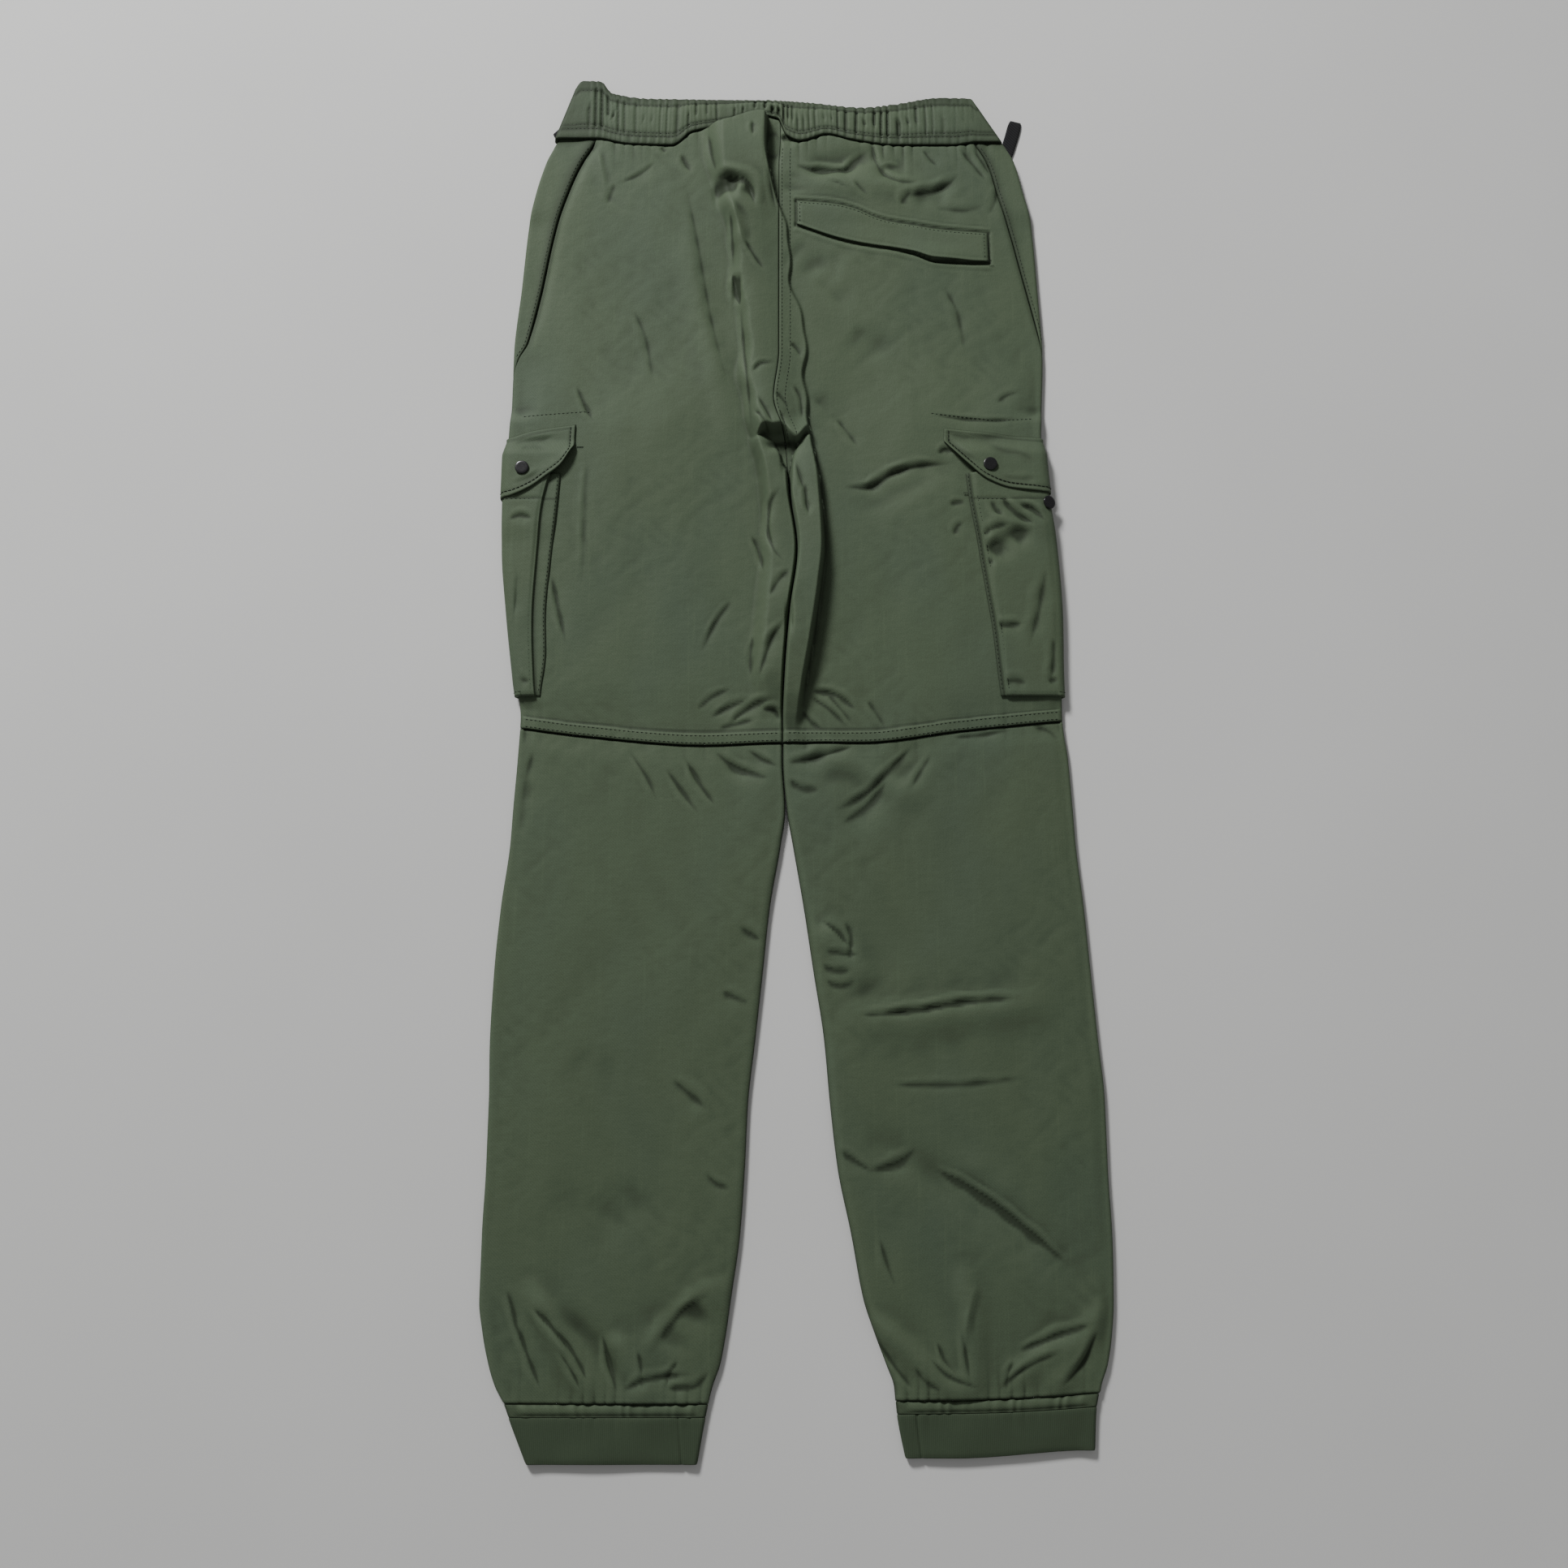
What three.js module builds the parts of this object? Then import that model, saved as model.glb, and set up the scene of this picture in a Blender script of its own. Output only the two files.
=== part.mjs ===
// Cargo trousers laid flat with the back up.
// Millimetres: X runs across the garment, Y up to the waist, Z up from the floor.
import * as THREE from "three";

// Driving dimensions
const CLOTH = 1.2;
const BAND_CLOTH = 2.6;
const CUFF_CLOTH = 1.8;
const GAP = 0.3;
const SEAM_HALF_GAP = 0.15;
const EDGE_RADIUS = 2.4;
const BAND_EDGE_RADIUS = 3.6;
const CUFF_EDGE_RADIUS = 2.4;
const CROWN = 1;
const CROWN_REACH = 45;
const CROTCH_Y = 210;
const KNEE_Y = -16;
const KNEE_BAND = 9;
const KNEE_BAND_RISE = 0.8;
const HEM_Y = -481;
const HEM_HEIGHT = 8;
const CUFF_BOTTOM_Y = -519;
const WAIST_Y = 476;
const TAPE_WIDTH = 11;
const TAPE_THICKNESS = 1.3;
const TAPE_FLOOR = 0.1;
const WAIST_LIFT = 1.8;
const BAND_CLEARANCE = 0.3;
const LIFT_RAMP = 14;
const POCKET_CLOTH = 1.2;
const FLAP_CLOTH = 1.2;
const WELT_CLOTH = 1.4;
const QUARTER_ARC = (EDGE_RADIUS * Math.PI) / 2;
const SIDE_FADE = 10;
const SLOPE_STEP = 0.4;
const STEEPEST = 4;
const SNAP_SIDES = 16;
const LEFT = -1;
const RIGHT = 1;

const COLOURS = { cloth: 0x55634f, cuff: 0x37452f, snap: 0x15161a, tape: 0x101114 };

// Where the front cloth is raised: over the tapes at the waist, the pocket and its flap.
const RAISED = {
  waistFrom: 398,
  waistRamp: 18,
  pocketFrom: 2,
  flapFrom: 128,
  flapRamp: 22,
  flapTop: 230,
  flapTopRamp: 14,
};

// How far from each cross seam the panels' rows bend to follow it.
const SEAM_REACH = { waistFrom: 396, waist: 80, knee: 28, hem: 60 };

// Below the crotch the inner edge drops to the slit, more roundly from the knee down.
const INNER_DROP = { above: 6, ramp: 12, narrow: 2.4, wide: 6, wideFrom: -60, wideRamp: 60 };
const KNEE_TUCK = { depth: 0.9, length: 16 };
const FOLD_ENDS = { over: 0.25, fade: 0.4 };

// The outline on the floor, a row for each height up the garment.
// Above the crotch the two inner edges are the centre back seam.
const OUTLINE = [
  { y: 520, leftOuter: -188, leftInner: -8, rightInner: -8, rightOuter: 166 },
  { y: 480, leftOuter: -188, leftInner: -8, rightInner: -8, rightOuter: 170 },
  { y: 458, leftOuter: -196, leftInner: -9, rightInner: -9, rightOuter: 180 },
  { y: 432, leftOuter: -203, leftInner: -9, rightInner: -9, rightOuter: 186 },
  { y: 403, leftOuter: -208, leftInner: -9, rightInner: -9, rightOuter: 192 },
  { y: 346, leftOuter: -212, leftInner: -9, rightInner: -9, rightOuter: 195 },
  { y: 290, leftOuter: -216, leftInner: -9, rightInner: -9, rightOuter: 197 },
  { y: 249, leftOuter: -216, leftInner: -13, rightInner: -13, rightOuter: 195 },
  { y: 215, leftOuter: -217, leftInner: -4, rightInner: -4, rightOuter: 193 },
  { y: 174, leftOuter: -217, leftInner: -1, rightInner: -1, rightOuter: 195 },
  { y: 128, leftOuter: -216, leftInner: 5, rightInner: 5, rightOuter: 200 },
  { y: 78, leftOuter: -211, leftInner: -1, rightInner: -1, rightOuter: 202 },
  { y: 25, leftOuter: -204, leftInner: -5, rightInner: -5, rightOuter: 201 },
  { y: -5, leftOuter: -200, leftInner: -6, rightInner: -6, rightOuter: 201 },
  { y: -35, leftOuter: -201, leftInner: -6, rightInner: -6, rightOuter: 204 },
  { y: -74, leftOuter: -203, leftInner: -4, rightInner: -3, rightOuter: 206 },
  { y: -98, leftOuter: -204, leftInner: -7, rightInner: 1, rightOuter: 207 },
  { y: -145, leftOuter: -209, leftInner: -15, rightInner: 9, rightOuter: 211 },
  { y: -192, leftOuter: -212, leftInner: -20, rightInner: 16, rightOuter: 214 },
  { y: -238, leftOuter: -213, leftInner: -25, rightInner: 23, rightOuter: 217 },
  { y: -283, leftOuter: -212, leftInner: -30, rightInner: 27, rightOuter: 220 },
  { y: -327, leftOuter: -212, leftInner: -32, rightInner: 32, rightOuter: 220 },
  { y: -371, leftOuter: -213, leftInner: -35, rightInner: 41, rightOuter: 221 },
  { y: -414, leftOuter: -213, leftInner: -41, rightInner: 49, rightOuter: 220 },
  { y: -435, leftOuter: -210, leftInner: -44, rightInner: 56, rightOuter: 218 },
  { y: -456, leftOuter: -205, leftInner: -48, rightInner: 64, rightOuter: 214 },
  { y: -470, leftOuter: -200, leftInner: -53, rightInner: 69, rightOuter: 209 },
  { y: -482, leftOuter: -193, leftInner: -56, rightInner: 70, rightOuter: 207 },
  { y: -492, leftOuter: -189, leftInner: -58, rightInner: 71, rightOuter: 205 },
  { y: -520, leftOuter: -177, leftInner: -63, rightInner: 76, rightOuter: 203 },
];

// How far the front panel comes round the side onto the back.
const SIDE_SEAM = [
  { y: -520, left: 0, right: 0 },
  { y: 265, left: 0, right: 0 },
  { y: 285, left: 5, right: 0 },
  { y: 300, left: 12, right: 3 },
  { y: 340, left: 17, right: 10 },
  { y: 380, left: 21, right: 17 },
  { y: 414, left: 25, right: 22 },
  { y: 446, left: 29, right: 23 },
  { y: 480, left: 33, right: 25 },
  { y: 520, left: 33, right: 25 },
];

// Cross lines, as heights at places across the garment.
const WAIST_SEAM = [
  { x: -187, y: 476 },
  { x: -158, y: 478 },
  { x: -128, y: 473 },
  { x: -94, y: 472 },
  { x: -80, y: 484 },
  { x: -50, y: 491 },
  { x: -25, y: 499 },
  { x: -10, y: 496 },
  { x: -3, y: 481 },
  { x: 8, y: 476 },
  { x: 30, y: 482 },
  { x: 50, y: 477 },
  { x: 83, y: 472 },
  { x: 128, y: 472 },
  { x: 150, y: 475 },
  { x: 168, y: 476 },
];
const WAIST_TOP = [
  { x: -176, y: 531 },
  { x: -154, y: 530 },
  { x: -144, y: 519 },
  { x: -114, y: 514 },
  { x: -23, y: 513 },
  { x: 17, y: 510 },
  { x: 58, y: 506 },
  { x: 85, y: 509 },
  { x: 121, y: 515 },
  { x: 152, y: 514 },
];
const KNEE_SEAM = [
  { x: -205, y: -11 },
  { x: -154, y: -18 },
  { x: -66, y: -25 },
  { x: -6, y: -23 },
  { x: 52, y: -23 },
  { x: 126, y: -14 },
  { x: 205, y: -6 },
];
const HEM_SEAM = [
  { x: -215, y: -481 },
  { x: -50, y: -481 },
  { x: 70, y: -479 },
  { x: 136, y: -478 },
  { x: 222, y: -473 },
];

// Raised folds that run down the garment, between their left and right edges.
const CENTRE_FOLD = [
  { y: 505, left: -64, right: -19, height: 5, leftFall: 12, rightFall: 5 },
  { y: 467, left: -62, right: -19, height: 10, leftFall: 12, rightFall: 3 },
  { y: 435, left: -57, right: -14, height: 10, leftFall: 9, rightFall: 2.5 },
  { y: 400, left: -48, right: -4, height: 9, leftFall: 8, rightFall: 2.5 },
  { y: 355, left: -43, right: 1, height: 8, leftFall: 8, rightFall: 2.5 },
  { y: 310, left: -37, right: 10, height: 8, leftFall: 8, rightFall: 2.5 },
  { y: 272, left: -35, right: 12, height: 9, leftFall: 9, rightFall: 2.5 },
  { y: 242, left: -31, right: 13, height: 12, leftFall: 9, rightFall: 3 },
  { y: 224, left: -29, right: 13, height: 14, leftFall: 7, rightFall: 3 },
  { y: 216, left: -28, right: 13, height: 2, leftFall: 7, rightFall: 4 },
  { y: 208, left: -28, right: 13, height: 0, leftFall: 7, rightFall: 4 },
];
const RIGHT_LEG_FOLD = [
  { y: 214, left: 1, right: 15, height: 0, leftFall: 4, rightFall: 3 },
  { y: 205, left: 0, right: 16, height: 9, leftFall: 3, rightFall: 3 },
  { y: 166, left: 0, right: 23, height: 13, leftFall: 2, rightFall: 4 },
  { y: 128, left: 3, right: 25, height: 15, leftFall: 2, rightFall: 5 },
  { y: 97, left: 0, right: 22, height: 16, leftFall: 2, rightFall: 5 },
  { y: 56, left: -4, right: 16, height: 15, leftFall: 2, rightFall: 5 },
  { y: 16, left: -7, right: 9, height: 11, leftFall: 2, rightFall: 5 },
  { y: 0, left: -8, right: 7, height: 6, leftFall: 2, rightFall: 6 },
  { y: -14, left: -8, right: 5, height: 1, leftFall: 2, rightFall: 6 },
  { y: -30, left: -8, right: 5, height: 0, leftFall: 2, rightFall: 6 },
];
const LEFT_LEG_FOLD = [
  { y: 214, left: -30, right: -2, height: 0, leftFall: 6, rightFall: 3 },
  { y: 203, left: -28, right: -1, height: 10, leftFall: 6, rightFall: 2 },
  { y: 185, left: -23, right: 0, height: 11, leftFall: 7, rightFall: 2 },
  { y: 156, left: -19, right: 4, height: 9, leftFall: 7, rightFall: 2 },
  { y: 124, left: -19, right: 7, height: 8, leftFall: 8, rightFall: 2 },
  { y: 84, left: -22, right: 2, height: 9, leftFall: 9, rightFall: 2 },
  { y: 34, left: -26, right: -3, height: 8, leftFall: 9, rightFall: 2 },
  { y: 12, left: -24, right: -4, height: 4, leftFall: 10, rightFall: 2 },
  { y: -4, left: -22, right: -4, height: 0, leftFall: 10, rightFall: 2 },
];

// Broad folds across the cloth: a line, its half width, and its rise or dip.
const BROAD_FOLDS = [
  { x0: 22, y0: 455, x1: 62, y1: 462, half: 9, height: -2.4 },
  { x0: 20, y0: 440, x1: 110, y1: 436, half: 11, height: 2 },
  { x0: 60, y0: 165, x1: 120, y1: 196, half: 10, height: -1.6 },
  { x0: -80, y0: 370, x1: -48, y1: 225, half: 12, height: 2 },
  { x0: 26, y0: -30, x1: 88, y1: -60, half: 10, height: 2 },
  { x0: 95, y0: -28, x1: 48, y1: -80, half: 10, height: -1.8 },
  { x0: 55, y0: -222, x1: 172, y1: -212, half: 12, height: 2 },
  { x0: 84, y0: -318, x1: 186, y1: -388, half: 13, height: -2 },
  { x0: 24, y0: -160, x1: 50, y1: -195, half: 10, height: 2.4 },
  { x0: -175, y0: -410, x1: -140, y1: -470, half: 9, height: 2.6 },
  { x0: -150, y0: -425, x1: -105, y1: -470, half: 9, height: -2 },
  { x0: -120, y0: -440, x1: -100, y1: -476, half: 9, height: 2.4 },
  { x0: -95, y0: -445, x1: -50, y1: -405, half: 11, height: 2.2 },
  { x0: 60, y0: -430, x1: 112, y1: -474, half: 9, height: 2.8 },
  { x0: 118, y0: -400, x1: 122, y1: -470, half: 9, height: 2.2 },
  { x0: 150, y0: -462, x1: 186, y1: -438, half: 9, height: 2.4 },
  { x0: 178, y0: -470, x1: 210, y1: -420, half: 9, height: 2.6 },
];
const CROTCH_PIT = { x: -5, y: 213, halfX: 17, halfY: 6, depth: 5 };

// Cargo pockets. Across the pocket, places are distances round the side of the leg
// from its outermost edge: above it on the back, and below zero underneath.
const POCKETS = {
  left: {
    side: LEFT,
    bottom: 12,
    mouth: 188,
    under: 98,
    clear: 117,
    rise: 3.4,
    seam: [
      { y: 12, at: 18, face: 15 },
      { y: 45, at: 26, face: 17 },
      { y: 78, at: 29, face: 20 },
      { y: 119, at: 36, face: 26 },
      { y: 161, at: 41, face: 30 },
      { y: 190, at: 43, face: 36 },
    ],
    flapTop: [
      { at: -113, y: 222 },
      { at: -30, y: 216 },
      { at: 0, y: 218 },
      { at: 20, y: 224 },
      { at: 53, y: 229 },
    ],
    flapLow: [
      { at: -113, y: 210 },
      { at: -103, y: 193 },
      { at: -92, y: 184 },
      { at: -80, y: 175 },
      { at: -67, y: 169 },
      { at: -30, y: 162 },
      { at: 7, y: 169 },
      { at: 20, y: 175 },
      { at: 32, y: 184 },
      { at: 43, y: 193 },
      { at: 53, y: 210 },
    ],
    snaps: [{ name: "flap_snap_left", at: 14, y: 191, on: "flap" }],
  },
  right: {
    side: RIGHT,
    bottom: 12,
    mouth: 188,
    under: 78,
    clear: 92,
    rise: 2.6,
    seam: [
      { y: 12, at: 47, face: 44 },
      { y: 59, at: 52, face: 49 },
      { y: 97, at: 57, face: 54 },
      { y: 135, at: 60, face: 57 },
      { y: 190, at: 62, face: 59 },
    ],
    flapTop: [
      { at: -87, y: 222 },
      { at: -5, y: 218 },
      { at: 11, y: 219 },
      { at: 77, y: 226 },
    ],
    flapLow: [
      { at: -87, y: 212 },
      { at: -72, y: 197 },
      { at: -56, y: 182 },
      { at: -38, y: 175 },
      { at: -5, y: 172 },
      { at: 28, y: 175 },
      { at: 46, y: 182 },
      { at: 62, y: 197 },
      { at: 77, y: 214 },
    ],
    snaps: [
      { name: "flap_snap_right", at: 43, y: 194, on: "flap" },
      { name: "pocket_stud_right", at: 2.6, y: 164, on: "pocket" },
    ],
  },
};
const SNAP_PROFILE = [
  { r: 0, z: 0 },
  { r: 5.2, z: 0 },
  { r: 5.2, z: 0.6 },
  { r: 4.5, z: 1.4 },
  { r: 2.6, z: 1.8 },
  { r: 0, z: 1.9 },
];

// The back pocket's welt: its upper seam and its open lower edge.
const WELT = [
  { x: 5, top: 423, mouth: 402 },
  { x: 20, top: 422, mouth: 396 },
  { x: 37, top: 420, mouth: 390 },
  { x: 52, top: 416, mouth: 386 },
  { x: 67, top: 409, mouth: 383 },
  { x: 79, top: 405, mouth: 381 },
  { x: 97, top: 402, mouth: 377 },
  { x: 114, top: 399, mouth: 371 },
  { x: 132, top: 397, mouth: 370 },
  { x: 146, top: 396, mouth: 369 },
  { x: 157, top: 395, mouth: 369 },
];

// Gathers on the upper side of the waistband, zone by zone from the left.
const BAND_ZONES = [
  { from: -186, to: -160, waves: 0, plain: 4, depth: 0 },
  { from: -160, to: -144, waves: 4, depth: 1.1 },
  { from: -144, to: -80, waves: 12, depth: 1.2 },
  { from: -80, to: -18, waves: 6, depth: 0.6 },
  { from: -18, to: 14, waves: 7, depth: 1.2 },
  { from: 14, to: 110, waves: 16, depth: 1.2 },
  { from: 110, to: 150, waves: 6, depth: 0.6 },
  { from: 150, to: 167, waves: 0, plain: 3, depth: 0 },
];
const BAND_ENDS = { bottomLeft: -190, bottomRight: 171, topLeft: -174, topRight: 151 };
const BAND_ROWS = [
  { up: 0, rise: -0.4, gather: 1 },
  { up: 0.25, rise: -0.2, gather: 1 },
  { up: 0.7, rise: 0.3, gather: 0.8 },
  { up: 1, rise: -0.9, gather: 0.5 },
];
const BAND_END_FADE = 8;
const BAND_UNDER_COLUMNS = 10;
const RING_QUARTERS = [60, 30, 0, -30, -60];
const HEM = { waves: 17, depth: 0.7, bulge: 0.5, footShare: 0.6, underColumns: 4 };
const CUFF_COLUMNS = [0, 0.1, 0.3, 0.5, 0.7, 0.9, 1];
const CUFF_ROWS = [0, 0.5, 0.95, 1];
const CUFF_UNDER_COLUMNS = 3;
const CUFF_FOOT_DROP = 0.5;
const RIGHT_CUFF_FOOT = { up: 4, slope: 5, from: 110, length: 90 };

// Shares of the way across the pocket, the flap, the welt and the tape.
const POCKET_FACE_FOLD = 1.6;
const POCKET_UNDER = [0.15, 0.5, 1];
const FLAP_OVER = { above: 14, ramp: 14 };
const FLAP_BACK = [1, 0.94, 0.85, 0.7, 0.5, 0.25];
const FLAP_FRONT = [0.1, 0.35, 0.7, 0.9, 1];
const FLAP_ROWS = 5;
const WELT_ROWS = 3;
const WELT_GAPE = 1.2;
const TAPE_STEPS = 16;
const TAPE_TIP = 0.8;
const TAPE_ACROSS = [
  { at: -1, height: 0.75 },
  { at: -0.9, height: 1 },
  { at: 0.9, height: 1 },
  { at: 1, height: 0.75 },
];

// The drawstring's two ends, from the front of the waistband to their free tips.
const TAPES = [
  {
    name: "drawstring_left",
    route: [
      [-14, 492],
      [-35, 478],
      [-65, 466],
      [-100, 459],
      [-130, 459],
      [-155, 465],
      [-173, 475],
      [-189, 490],
    ],
  },
  {
    name: "drawstring_right",
    route: [
      [14, 492],
      [32, 478],
      [58, 464],
      [90, 452],
      [120, 445],
      [144, 444],
      [161, 451],
      [172, 464],
      [178, 480],
      [183, 498],
    ],
  },
];

// Rows down the upper and lower panels, and columns across them.
const UPPER_ROWS = [
  476, 466, 452, 436, 416, 398, 374, 350, 326, 302, 280, 260, 244, 230, 222, 215, 208, 202,
  188, 172, 150, 128, 104, 80, 56, 34, 12, 2, -6, -7.5, -16,
];
const LOWER_ROWS = [
  -16, -24, -38, -56, -76, -100, -124, -150, -176, -200, -226, -254, -284, -316, -350, -382,
  -408, -428, -444, -458, -470, -481,
];
const INNER_COLUMNS = [172, 158, 132, 104, 80, 62, 49, 38, 29, 21, 15, 10, 6, 3, 1.2, 0];
const LOWER_INNER_COLUMNS = [160, 134, 110, 88, 66, 48, 32, 18, 8, 2, 0];
const COLUMN_SPAN = 186;

function clamp(t, low, high) {
  return Math.min(Math.max(t, low), high);
}

function smooth(t) {
  const c = clamp(t, 0, 1);
  return c * c * (3 - 2 * c);
}

function mix(a, b, t) {
  return a + (b - a) * t;
}

// Reads a column of a table at a place, by a smooth curve through its rows.
function read(rows, key, at, column) {
  const up = rows[0][key] < rows[rows.length - 1][key];
  const list = up ? rows : [...rows].reverse();
  const last = list.length - 1;
  if (at <= list[0][key]) return list[0][column];
  if (at >= list[last][key]) return list[last][column];
  let i = 0;
  while (list[i + 1][key] < at) i += 1;
  const slope = (a, b) => (list[b][column] - list[a][column]) / (list[b][key] - list[a][key]);
  const span = list[i + 1][key] - list[i][key];
  const here = slope(i, i + 1);
  const before = i > 0 ? slope(i - 1, i) : here;
  const after = i + 1 < last ? slope(i + 1, i + 2) : here;
  const soft = (a, b) => (a * b <= 0 ? 0 : (2 * a * b) / (a + b));
  const t = (at - list[i][key]) / span;
  const m0 = soft(before, here) * span;
  const m1 = soft(here, after) * span;
  const p0 = list[i][column];
  const p1 = list[i + 1][column];
  const cubic = 2 * p0 - 2 * p1 + m0 + m1;
  const square = 3 * p1 - 3 * p0 - 2 * m0 - m1;
  return ((cubic * t + square) * t + m0) * t + p0;
}

function legEdges(side, y) {
  if (side === LEFT) {
    const inner = read(OUTLINE, "y", y, "leftInner") - SEAM_HALF_GAP;
    return { outer: read(OUTLINE, "y", y, "leftOuter"), inner };
  }
  const inner = read(OUTLINE, "y", y, "rightInner") + SEAM_HALF_GAP;
  return { outer: read(OUTLINE, "y", y, "rightOuter"), inner };
}

function pocketOf(side) {
  return side === LEFT ? POCKETS.left : POCKETS.right;
}

// How far the front cloth is raised off the floor by what lies under it.
function lift(side, fromEdge, y) {
  const pocket = pocketOf(side);
  const waist = WAIST_LIFT * smooth((y - RAISED.waistFrom) / RAISED.waistRamp);
  const across = 1 - smooth((fromEdge - pocket.clear) / LIFT_RAMP);
  const below = 1 - smooth((y - RAISED.flapTop) / RAISED.flapTopRamp);
  const foot = smooth((y - RAISED.pocketFrom) / (pocket.bottom - RAISED.pocketFrom));
  const body = (POCKET_CLOTH + GAP) * foot;
  const flap = (FLAP_CLOTH + GAP) * smooth((y - RAISED.flapFrom) / RAISED.flapRamp);
  return waist + (body + flap) * below * across;
}

function ridge(rows, x, y) {
  const height = read(rows, "y", y, "height");
  if (height <= 0 || y > rows[0].y || y < rows[rows.length - 1].y) return 0;
  const leftFall = read(rows, "y", y, "leftFall");
  const rightFall = read(rows, "y", y, "rightFall");
  const rise = smooth((x - read(rows, "y", y, "left")) / leftFall + 0.5);
  const drop = smooth((read(rows, "y", y, "right") - x) / rightFall + 0.5);
  return height * rise * drop;
}

function broadFold(fold, x, y) {
  const along = { x: fold.x1 - fold.x0, y: fold.y1 - fold.y0 };
  const length = Math.hypot(along.x, along.y);
  const t = ((x - fold.x0) * along.x + (y - fold.y0) * along.y) / (length * length);
  const off = ((x - fold.x0) * along.y - (y - fold.y0) * along.x) / length;
  const { over, fade } = FOLD_ENDS;
  const ends = smooth((t + over) / fade) * smooth((1 + over - t) / fade);
  return fold.height * ends * Math.exp(-((off / fold.half) ** 2));
}

// The height of the upper cloth's outer side.
function topHeight(side, x, y) {
  const edges = legEdges(side, y);
  const fromEdge = Math.abs(x - edges.outer);
  const fromInner = Math.abs(x - edges.inner);
  const apart = smooth((CROTCH_Y + INNER_DROP.above - y) / INNER_DROP.ramp);
  const raised = lift(side, fromEdge, y);
  const base = raised + 2 * EDGE_RADIUS;
  let rise = CROWN * smooth(fromEdge / CROWN_REACH);
  rise *= mix(1, smooth(fromInner / CROWN_REACH + 0.5), apart);
  rise += ridge(CENTRE_FOLD, x, y);
  rise += side === LEFT ? ridge(LEFT_LEG_FOLD, x, y) : ridge(RIGHT_LEG_FOLD, x, y);
  for (const fold of BROAD_FOLDS) rise += broadFold(fold, x, y);
  const pitX = (x - CROTCH_PIT.x) / CROTCH_PIT.halfX;
  const pitY = (y - CROTCH_PIT.y) / CROTCH_PIT.halfY;
  rise -= CROTCH_PIT.depth * Math.exp(-(pitX ** 4) - pitY ** 2);
  const edgeFade = smooth((fromEdge - EDGE_RADIUS) / SIDE_FADE);
  const low = raised + 2 * CLOTH + 2 * GAP;
  const full = Math.max(base + rise * edgeFade, low);
  const wide = smooth((INNER_DROP.wideFrom - y) / INNER_DROP.wideRamp);
  const reach = mix(INNER_DROP.narrow, INNER_DROP.wide, wide);
  const q = clamp(fromInner / reach, 0, 1);
  const round = mix(1, Math.sqrt(1 - (1 - q) ** 2), apart);
  return mix(low, full, round);
}

// A point of the leg's outside, by the distance round its side from the outermost edge.
function legPoint(side, y, along) {
  const outer = legEdges(side, y).outer;
  if (Math.abs(along) <= QUARTER_ARC) {
    const angle = along / EDGE_RADIUS;
    const out = new THREE.Vector3(side * Math.cos(angle), 0, Math.sin(angle));
    const x = outer - side * (EDGE_RADIUS - EDGE_RADIUS * Math.cos(angle));
    const z = lift(side, 0, y) + EDGE_RADIUS + EDGE_RADIUS * Math.sin(angle);
    return { point: new THREE.Vector3(x, y, z), out, thick: 1, fromEdge: 0 };
  }
  const fromEdge = EDGE_RADIUS + Math.abs(along) - QUARTER_ARC;
  const x = outer - side * fromEdge;
  if (along < 0) {
    const point = new THREE.Vector3(x, y, lift(side, fromEdge, y));
    return { point, out: new THREE.Vector3(0, 0, -1), thick: 1, fromEdge };
  }
  const d = SLOPE_STEP;
  const z = topHeight(side, x, y);
  const across = (topHeight(side, x + d, y) - topHeight(side, x - d, y)) / (2 * d);
  const down = (topHeight(side, x, y + d) - topHeight(side, x, y - d)) / (2 * d);
  const thick = Math.min(Math.hypot(1, across, down), STEEPEST);
  return { point: new THREE.Vector3(x, y, z), out: new THREE.Vector3(0, 0, 1), thick, fromEdge };
}

// Moves a row's height so that the panels end on the cross seams. Underneath, the
// waist and knee seams are straight.
function warpRow(x, y, isUnder) {
  const waistShare = smooth((y - SEAM_REACH.waistFrom) / SEAM_REACH.waist);
  const kneeShare = smooth(1 - Math.abs(y - KNEE_Y) / SEAM_REACH.knee);
  const hemShare = smooth(1 - (y - HEM_Y) / SEAM_REACH.hem);
  const waist = waistShare * (read(WAIST_SEAM, "x", x, "y") - WAIST_Y);
  const knee = kneeShare * (read(KNEE_SEAM, "x", x, "y") - KNEE_Y);
  const hem = hemShare * (read(HEM_SEAM, "x", x, "y") - HEM_Y);
  return y + (isUnder ? 0 : waist + knee) + hem;
}

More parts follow.
